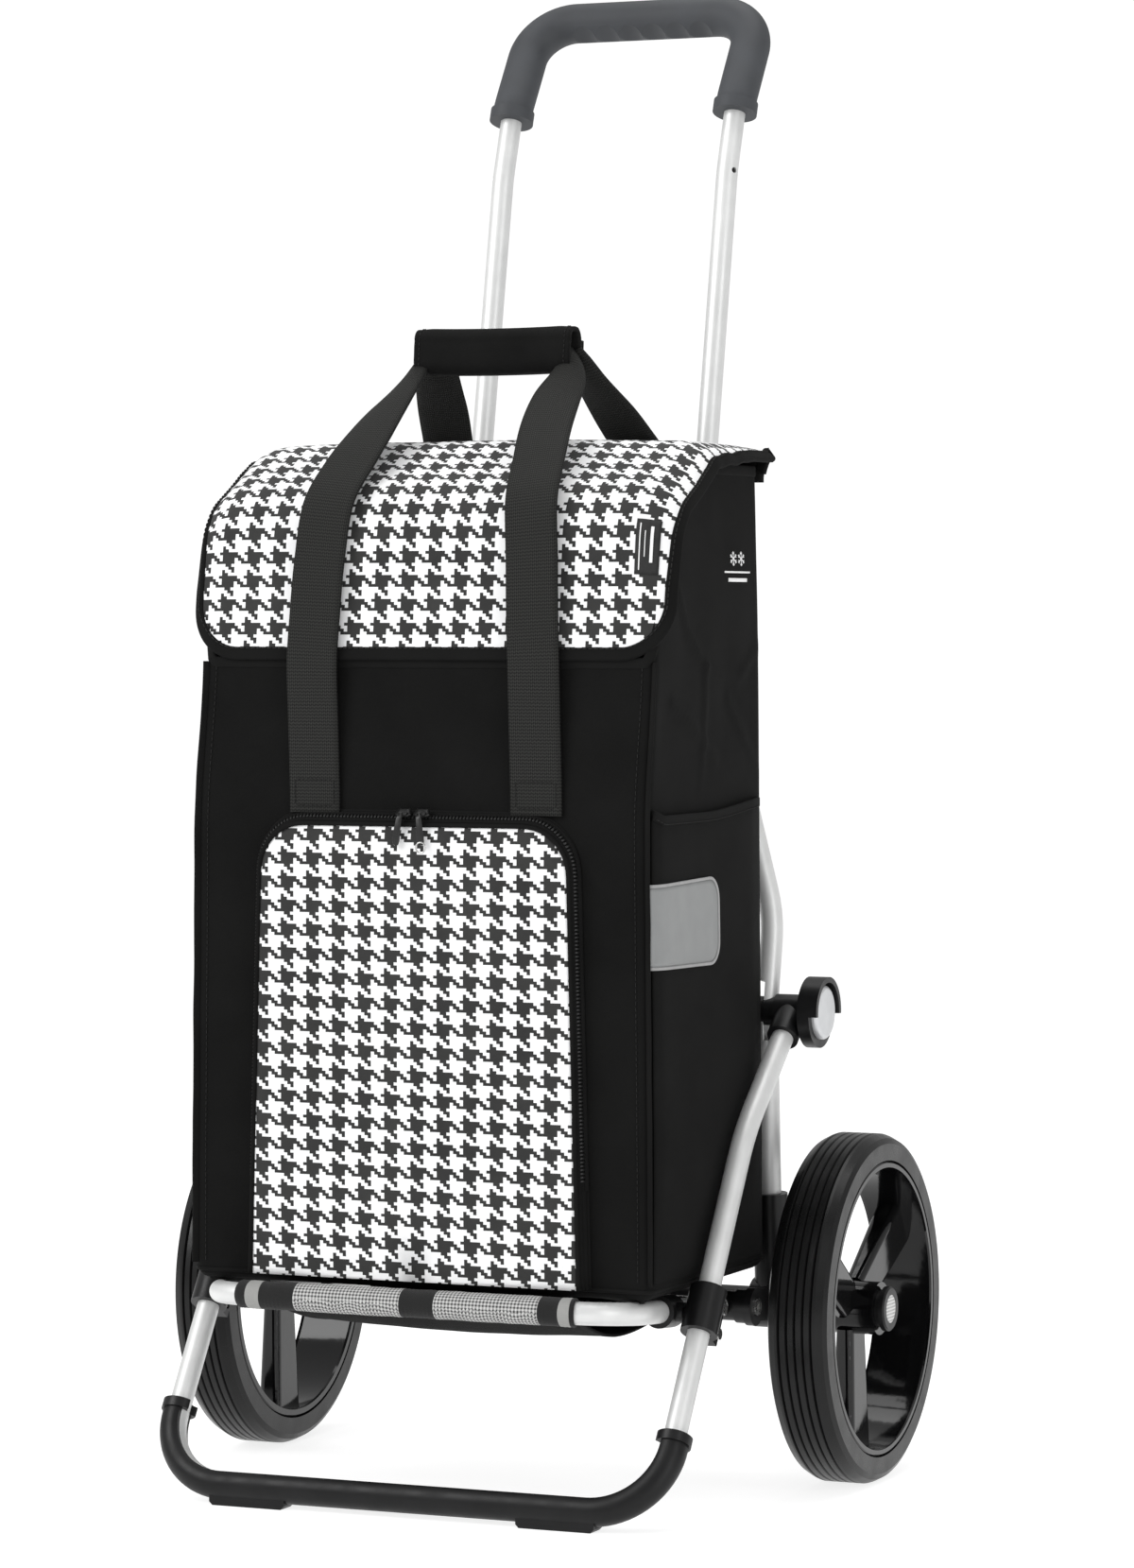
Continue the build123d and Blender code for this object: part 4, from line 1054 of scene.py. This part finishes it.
# ---- flap --------------------------------------------------------------------------------------------
FLAP_STATIONS = ((-22.2, 716), (-22.2, 740), (-150, 740), (-232, 698), (-244.8, 591))
FLAP_RADII = (8, 60, 50)
FLAP_HALF = 182.5
FLAP_REAR_HALF = 171.0
CURL_FROM = 148.0        # the sides of the flap bend down over the bag from here
CURL_STEEP = 0.93
CURLS = ((0, 5), (24, 9), (75, 10), (130, 16), (190, 19), (240, 18), (268, 13), (295, 9), (360, 7))
FLAP_ROUND = 38.0
FLAP_LINE = rounded(FLAP_STATIONS, FLAP_RADII, 3.0)
FLAP_LONG = float(lengths(FLAP_LINE)[-1])
FLAP_TOP_FROM = 24.0


def flap_point(s, x):
    """A point of the flap's outer face, s from its rear seam, and the way out of the cloth."""
    y, z = along(FLAP_LINE, s)
    before, after = along(FLAP_LINE, max(s - 3, 0)), along(FLAP_LINE, min(s + 3, FLAP_LONG))
    ty, tz = unit(after - before)
    ny, nz = tz, -ty
    u = abs(x) / FLAP_HALF
    on_top = smooth_step(s, FLAP_TOP_FROM - 12, FLAP_TOP_FROM + 40)
    crown = 3.2 * (1 - u ** 2.2) * on_top * (1 - smooth_step(s, FLAP_LONG - 150, FLAP_LONG - 20))
    edge = smooth_step(u, 0.84, 1.0)
    puckers = math.sin(s / 4.6 + (0 if x > 0 else 1.7)) * 0.7 * edge * smooth_step(s, 60, 120) \
        * (1 - smooth_step(s, FLAP_LONG - 210, FLAP_LONG - 150))
    soft = 0.7 * ripple(x, y, z, 75, 6.1) * on_top + 0.25 * ripple(x, y, z, 24, 8.8) * on_top
    t = CURL_STEEP * min(max((abs(x) - CURL_FROM) / (FLAP_HALF - CURL_FROM), 0), 1)
    deep = float(np.interp(s, *zip(*CURLS))) / (1 - math.sqrt(1 - CURL_STEEP ** 2))
    curl = deep * (1 - math.sqrt(1 - t * t))
    out = 1.5 + crown + puckers + soft - curl
    slope = deep * t / math.sqrt(1 - t * t) * CURL_STEEP / (FLAP_HALF - CURL_FROM)
    tilt = math.copysign(math.sin(math.atan(slope)), x)
    flat = math.cos(math.atan(slope))
    return np.array([x, y + ny * out, z + nz * out]), np.array([tilt, ny * flat, nz * flat])


def flap_half(s):
    """Half the flap's width, s from its rear seam; the low corners are round."""
    left = FLAP_LONG - s
    if left >= FLAP_ROUND:
        return FLAP_REAR_HALF + (FLAP_HALF - FLAP_REAR_HALF) * smooth_step(s, 2, 34)
    return FLAP_HALF - FLAP_ROUND + math.sqrt(max(FLAP_ROUND ** 2 - (FLAP_ROUND - left) ** 2, 0))


def flap_edge():
    """The flap's free edge as (s, x), from the rear left, down and across, to the rear right."""
    side_s = np.linspace(6, FLAP_LONG - FLAP_ROUND, 90)
    turn = np.linspace(0, math.pi / 2, 16)[1:]
    down = [(s, -flap_half(s)) for s in side_s]
    down += [(FLAP_LONG - FLAP_ROUND * (1 - math.sin(a)), -(FLAP_HALF - FLAP_ROUND * (1 - math.cos(a))))
             for a in turn]
    straight = FLAP_HALF - FLAP_ROUND
    across = [(FLAP_LONG, x) for x in np.linspace(-straight, straight, 60)[1:-1]]
    return down + across + [(s, -x) for s, x in reversed(down)]


def make_flap(paints):
    ends = FLAP_LONG - FLAP_ROUND * (1 - np.sin(np.linspace(0, math.pi / 2, 14)))
    stations = np.concatenate([np.linspace(0, FLAP_LONG - FLAP_ROUND, 110)[:-1], ends])
    rows, uvs = [], []
    for s in stations:
        half = flap_half(s) - 0.8
        xs = [half * c for c in np.linspace(-1, 1, 97)]
        rows.append([flap_point(s, x)[0] for x in xs])
        uvs.append([(x * MM, (FLAP_LONG - s) * MM) for x in xs])
    shape = Shape()
    shape.grid(rows, uvs)
    flap = shape.object("flap_cloth", [paints["houndstooth"], paints["lining"]])
    face_away(flap, 0, -110, 500)
    solidify(flap, 2.6, inner=1, rim=1)
    finish_piece(flap, "lid", ["flap"])

    path, normals = [], []
    for s, x in flap_edge():
        point, out = flap_point(s, x)
        path.append(point - out * 1.3)
        normals.append(out)
    path, normals = np.array(path), np.array(normals)
    inward = -unit(np.cross(tangents(path), normals))
    shape = Shape()
    shape.tube(path + inward * 3.6, lozenge(9.4, 4.4, 1.9), up=normals)
    finish_piece(shape.object("flap_binding", [paints["binding"]]), "lid")
    sewn = stitches(path + inward * 7.0 + normals * 1.3, normals, radius=0.4, lift=0.9)
    finish_piece(sewn.object("flap_stitches", [paints["thread"]]), "lid")

    label = Shape()
    rows = []
    for s in np.linspace(FLAP_LONG - 96, FLAP_LONG - 58, 14):
        places = [flap_point(s, x) for x in np.linspace(154, 170.5, 8)]
        rows.append([point + out * 0.5 for point, out in places])
    label.grid(rows)
    made = label.object("flap_label", [paints["label_black"]])
    face_away(made, 0, -110, 500)
    solidify(made, 0.5)
    finish_piece(made, "lid")
    stripes = Shape()
    for x, s0, s1, width in ((157, 93, 61, 0.8), (165, 91, 66, 2.2), (160.5, 88, 70, 0.6)):
        places = [flap_point(FLAP_LONG - s, x) for s in np.linspace(s0, s1, 10)]
        line = [point + out * 0.75 for point, out in places]
        stripes.tube(line, lozenge(width, 0.3, 0.1, 1), up=flap_point(FLAP_LONG - 75, x)[1])
    finish_piece(stripes.object("flap_label_stripes", [paints["mark_white"]]), "lid")


# ---- straps and carrying wrap ---------------------------------------------------------------------------
STRAP_W, STRAP_T = 38.0, 2.2


def ribbon(stations, sign, count):
    """A strap through stations (x, y, z, width, cup, roll); x and roll are mirrored on the left.

    cup is how deep the strap curls across its width, roll turns it about its own line.
    """
    table = spline(stations, count)
    table[:, 0] *= sign
    path = table[:, :3]
    t = tangents(path)
    across = unit(np.cross(t, unit(np.cross(np.array([1.0, 0, 0]), t))))
    across *= np.sign(across[:, :1])
    out = unit(np.cross(across, t))
    out *= np.where((out[:, 1:2] < 0) | ((np.abs(out[:, 1:2]) < 1e-6) & (out[:, 2:3] > 0)), 1, -1)
    roll = np.radians(table[:, 5] * sign)[:, None]
    across, out = across * np.cos(roll) + out * np.sin(roll), out * np.cos(roll) - across * np.sin(roll)
    profile_u = np.linspace(-0.5, 0.5, 9)
    rows, uvs, s = [], [], lengths(path)
    for i in range(count):
        width, cup = table[i, 3], table[i, 4]
        rows.append([path[i] + across[i] * u * width - out[i] * cup * (4 * u * u) for u in profile_u])
        uvs.append([(u * STRAP_W * MM, s[i] * MM) for u in profile_u])
    return np.array(rows), uvs, out


def make_strap(name, stations, sign, body, paints, replaces, count):
    rows, uvs, out = ribbon(stations, sign, count)
    shape = Shape()
    shape.grid(rows, uvs)
    strap = shape.object(name, [paints["webbing"]])
    mesh = strap.data
    face = mesh.polygons[len(mesh.polygons) // 2]
    if face.normal.dot(Vector(out[count // 2])) < 0:
        mesh.flip_normals()
    solidify(strap, STRAP_T, offset=0.0)
    finish_piece(strap, body, replaces)


def bend_at_foot(piece):
    """A front strap is sewn to the bag at its foot; here its transform is only baked into its points."""
    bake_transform(piece)


def make_straps(paints):
    front = ((84, -245.4, 484, 38, 0, 0), (84, -245.8, 505, 38, 0, 0), (84, -248.4, 550, 38, 0, 0),
             (84, -250.6, 588, 38, 0.2, 0), (82.5, -249.6, 620, 38, 0.4, 0), (80.5, -245.6, 660, 38, 0.4, 0),
             (77.0, -238.0, 699, 38, 0.3, 0), (72.0, -213, 727, 38, 0.6, 0), (67.0, -184, 751, 37, 1.6, -6),
             (64.0, -152, 774, 33, 3.4, -14), (62.5, -124, 792, 24, 5.0, -24), (58.0, -112, 805, 15, 5.0, -26),
             (50.0, -107, 811, 16, 4.0, -20))
    rear = ((76, -24.0, 741.5, 38, 0, 0), (73, -34.0, 747, 38, 0.4, 0), (66, -58.0, 768, 37, 1.5, 6),
            (58, -84.0, 789, 31, 4.0, 16), (53, -96.0, 803, 25, 5.0, 24), (51, -101.0, 808, 23, 5.0, 24))
    for name, s in SIDES.items():
        keep = ["front_straps"] if s > 0 else []
        make_strap(f"front_strap_{name}", front, s, "carry_handle", paints, keep, 130)
        keep = ["rear_straps"] if s > 0 else []
        make_strap(f"rear_strap_{name}", rear, s, "lid", paints, keep, 60)
        box = Shape()
        for x0, z0, x1, z1 in ((-15, 489, 15, 489), (-15, 507, 15, 507), (-15, 489, -15, 507),
                               (15, 489, 15, 507)):
            places = [(s * 84 + x0 + (x1 - x0) * k, z0 + (z1 - z0) * k) for k in np.linspace(0, 1, 8)]
            line = np.array([(x, -245.4 - STRAP_T / 2 - (z - 484) * 0.02, z) for x, z in places])
            box.add(stitches(line, np.array([(0.0, -1.0, 0.0)] * 8), pitch=3.4, length=2.3, radius=0.35))
        finish_piece(box.object(f"strap_stitches_{name}", [paints["thread"]]), "carry_handle")


WRAP_HALF, WRAP_Y, WRAP_Z, WRAP_DEEP, WRAP_HIGH = 60.5, -107.0, 810.0, 29.0, 34.5


def make_wrap(paints):
    """A padded cover folded round the straps, closed behind, sagging a little between them."""
    low, high = WRAP_Z - WRAP_HIGH / 2, WRAP_Z + WRAP_HIGH / 2
    front, back = WRAP_Y - WRAP_DEEP / 2, WRAP_Y + WRAP_DEEP / 2
    section = rounded([(back - 5, WRAP_Z - 7), (back - 4, high - 2), (front + 3, high), (front, low + 1),
                       (back - 3, low), (back, WRAP_Z + 6)], [9, 10, 9, 9], 2.0)
    rows = []
    for x in np.linspace(-WRAP_HALF, WRAP_HALF, 60):
        u = x / WRAP_HALF
        row = []
        for y, z in section:
            bow = -1.2 * (1 - u * u)
            pinch = 1 - 0.05 * smooth_step(abs(u), 0.8, 1.0)
            dent = 0.8 * ripple(x, y, z, 34, 12.5) + 0.3 * ripple(x, y, z, 12, 3.5)
            fold = 0
            if y < WRAP_Y - 8:
                fold = -0.8 * math.exp(-((z - WRAP_Z - 6.5 - 0.5 * math.sin(x / 14)) / 2.2) ** 2)
            py = WRAP_Y + (y - WRAP_Y) * pinch + (-1 if y < WRAP_Y else 1) * (dent + fold) * 0.8
            frayed = 0.7 * ripple(0, y, z, 20, 2.0) * abs(u) ** 6
            row.append((x + frayed, py, WRAP_Z + (z - WRAP_Z) * pinch + bow))
        rows.append(row)
    shape = Shape()
    shape.grid(rows)
    wrap = shape.object("carry_wrap_cloth", [paints["binding"], paints["lining"]])
    face_away(wrap, 0, WRAP_Y, WRAP_Z)
    solidify(wrap, 3.0, inner=1)
    finish_piece(wrap, "carry_handle", ["carry_wrap"])
    sewn = Shape()
    for x in (-WRAP_HALF + 4, WRAP_HALF - 4):
        column = int(round((x + WRAP_HALF) / (2 * WRAP_HALF) * 59))
        line = np.array(rows[column])[6:-10]
        centre = np.array([line[0][0], WRAP_Y, WRAP_Z])
        sewn.add(stitches(line, unit(line - centre), pitch=3.6, length=2.4, radius=0.35))
    finish_piece(sewn.object("carry_wrap_stitches", [paints["thread"]]), "carry_handle")


# ---- platform textiles --------------------------------------------------------------------------------------
PIVOT = np.array([-70.0, 131.0])
FRONT_BAR = np.array([-262.0, 147.0])
SIDE_BAR_X, BAR_ROUND, BAR_R = 160.0, 42.0, 8.0
COVER_HALF = 127.0
SLING_HALF = 116.0


def make_platform_textiles(paints):
    direction = unit(FRONT_BAR - PIVOT)
    corner_back = FRONT_BAR - direction * 60
    path3 = rounded([(-SIDE_BAR_X, *corner_back), (-SIDE_BAR_X, *FRONT_BAR), (SIDE_BAR_X, *FRONT_BAR),
                     (SIDE_BAR_X, *corner_back)], [BAR_ROUND, BAR_ROUND], 1.5)
    path = path3[np.abs(path3[:, 0]) <= COVER_HALF]
    rows, uvs = [], []
    sides = 28
    ring = tangents(path)
    up = np.array([0.0, -direction[1], direction[0]])
    up = up if up[2] > 0 else -up
    for i, centre in enumerate(path):
        across = unit(np.cross(ring[i], up))
        row, uv = [], []
        for k in range(sides + 1):
            a = 2 * math.pi * k / sides
            pulled = 0.9 * math.exp(-((math.sin(a / 2 + 2.2)) / 0.25) ** 2)
            x = centre[0]
            ribbed = 0.12 * math.sin(x * 2 * math.pi / 3.2)
            lumps = 0.35 * ripple(x, 9 * math.cos(a), 9 * math.sin(a), 11, 4.2)
            r = BAR_R + 1.5 + ribbed + lumps + pulled
            row.append(centre + across * math.cos(a) * r + up * math.sin(a) * r)
            uv.append((x * MM, a * r * MM))
        rows.append(row[:-1])
        uvs.append(uv)
    shape = Shape()
    shape.grid(rows, uvs, wrap=True)
    cover = shape.object("platform_bar_cover", [paints["check_textile"]])
    face_away(cover, 0, *FRONT_BAR)
    solidify(cover, 1.3)
    finish_piece(cover, "platform", ["platform_cover"])

    start = FRONT_BAR + np.array([BAR_R + 1.0, -3.5])
    loop_r = 6.6
    line = [start, start + np.array([6, -1.0])]
    sag_from, sag_to = line[-1], PIVOT + np.array([-4.5, -loop_r])
    for t in np.linspace(0.04, 1, 34):
        point = sag_from + (sag_to - sag_from) * t
        line.append(point + np.array([0, -15.0 * math.sin(math.pi * t) ** 1.2]))
    for a in np.linspace(-1.9, 3.3, 22):
        line.append(PIVOT + loop_r * np.array([math.cos(a), math.sin(a)]))
    line = along(np.array(line), np.linspace(0, lengths(np.array(line))[-1], 80))
    rows, uvs = [], []
    total = lengths(line)
    for i, (y, z) in enumerate(line):
        share = total[i] / total[-1]
        slack = math.sin(math.pi * min(share / 0.8, 1))
        half = SLING_HALF - 5.0 * slack
        row, uv = [], []
        for c in np.linspace(-1, 1, 60):
            x = half * c
            belly = 3.0 * (1 - c * c) * slack
            fold = 0.9 * ripple(x, y, z, 40, 1.1) * slack
            row.append((x, y, z - belly + fold))
            uv.append((x * MM, total[i] * MM))
        rows.append(row)
        uvs.append(uv)
    rows = np.array(rows)
    shape = Shape()
    shape.grid(rows, uvs, flip=True)
    sling = shape.object("platform_sling_cloth", [paints["black_fabric"]])
    solidify(sling, 1.2, offset=0.0)
    finish_piece(sling, "platform", ["platform_sling"])
    hems = Shape()
    for column in (0, -1):
        edge = rows[2:62, column]
        hems.tube(edge, lozenge(6.0, 2.2, 0.9, 2), up=(0, 0, 1))
    finish_piece(hems.object("platform_sling_hems", [paints["binding"]]), "platform")


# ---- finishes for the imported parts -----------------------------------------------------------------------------
def cad_paints(paints):
    """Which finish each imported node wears, by the start of its name."""
    return {
        "tyre_": "tyre_rubber", "rim_": "gloss_rim", "wheel_bushes": "black_plastic",
        "hub_button": "black_plastic", "button_disc": "hub_disc", "button_spring": "steel",
        "axle_rod": "steel", "axle_tube": "black_plastic", "axle_bracket": "black_plastic",
        "rear_leg": "aluminium_tube", "hinge_bolts": "steel", "hinge_barrels": "black_plastic",
        "pivot_caps": "black_plastic", "pivot_screws": "steel", "pivot_rod": "steel",
        "handle_tube": "aluminium_tube", "handle_eyes": "black_plastic", "handle_grip": "grip_plastic",
        "stand_bow": "aluminium_tube", "stand_tees": "black_plastic", "foot_cover": "foot_rubber",
        "foot_clips": "black_plastic", "platform_tube": "aluminium_tube", "platform_eyes": "black_plastic",
        "platform_lugs": "black_plastic", "sleeve_screws": "steel", "sleeve_": "black_plastic",
        "knob_disc": "silver_disc", "knob_": "black_plastic", "base_board": "board",
    }


def dress_cad(paints):
    finishes = cad_paints(paints)
    for name, node in NODES.items():
        if node.hide_render:
            continue
        key = max((k for k in finishes if name.startswith(k)), key=len, default=None)
        if key is None:
            raise SystemExit(f"no finish for packed node {name}")
        node.data.materials.clear()
        node.data.materials.append(paints[finishes[key]])


make_camera()
make_studio()
materials = make_materials()
bag_columns = make_bag_shell(materials)
make_bag_edges(materials, bag_columns)
make_pocket(materials)
make_zip_sliders(materials)
make_side_pockets(materials)
make_reflectors(materials)
make_marks(materials)
make_flap(materials)
make_straps(materials)
make_wrap(materials)
make_platform_textiles(materials)
dress_cad(materials)
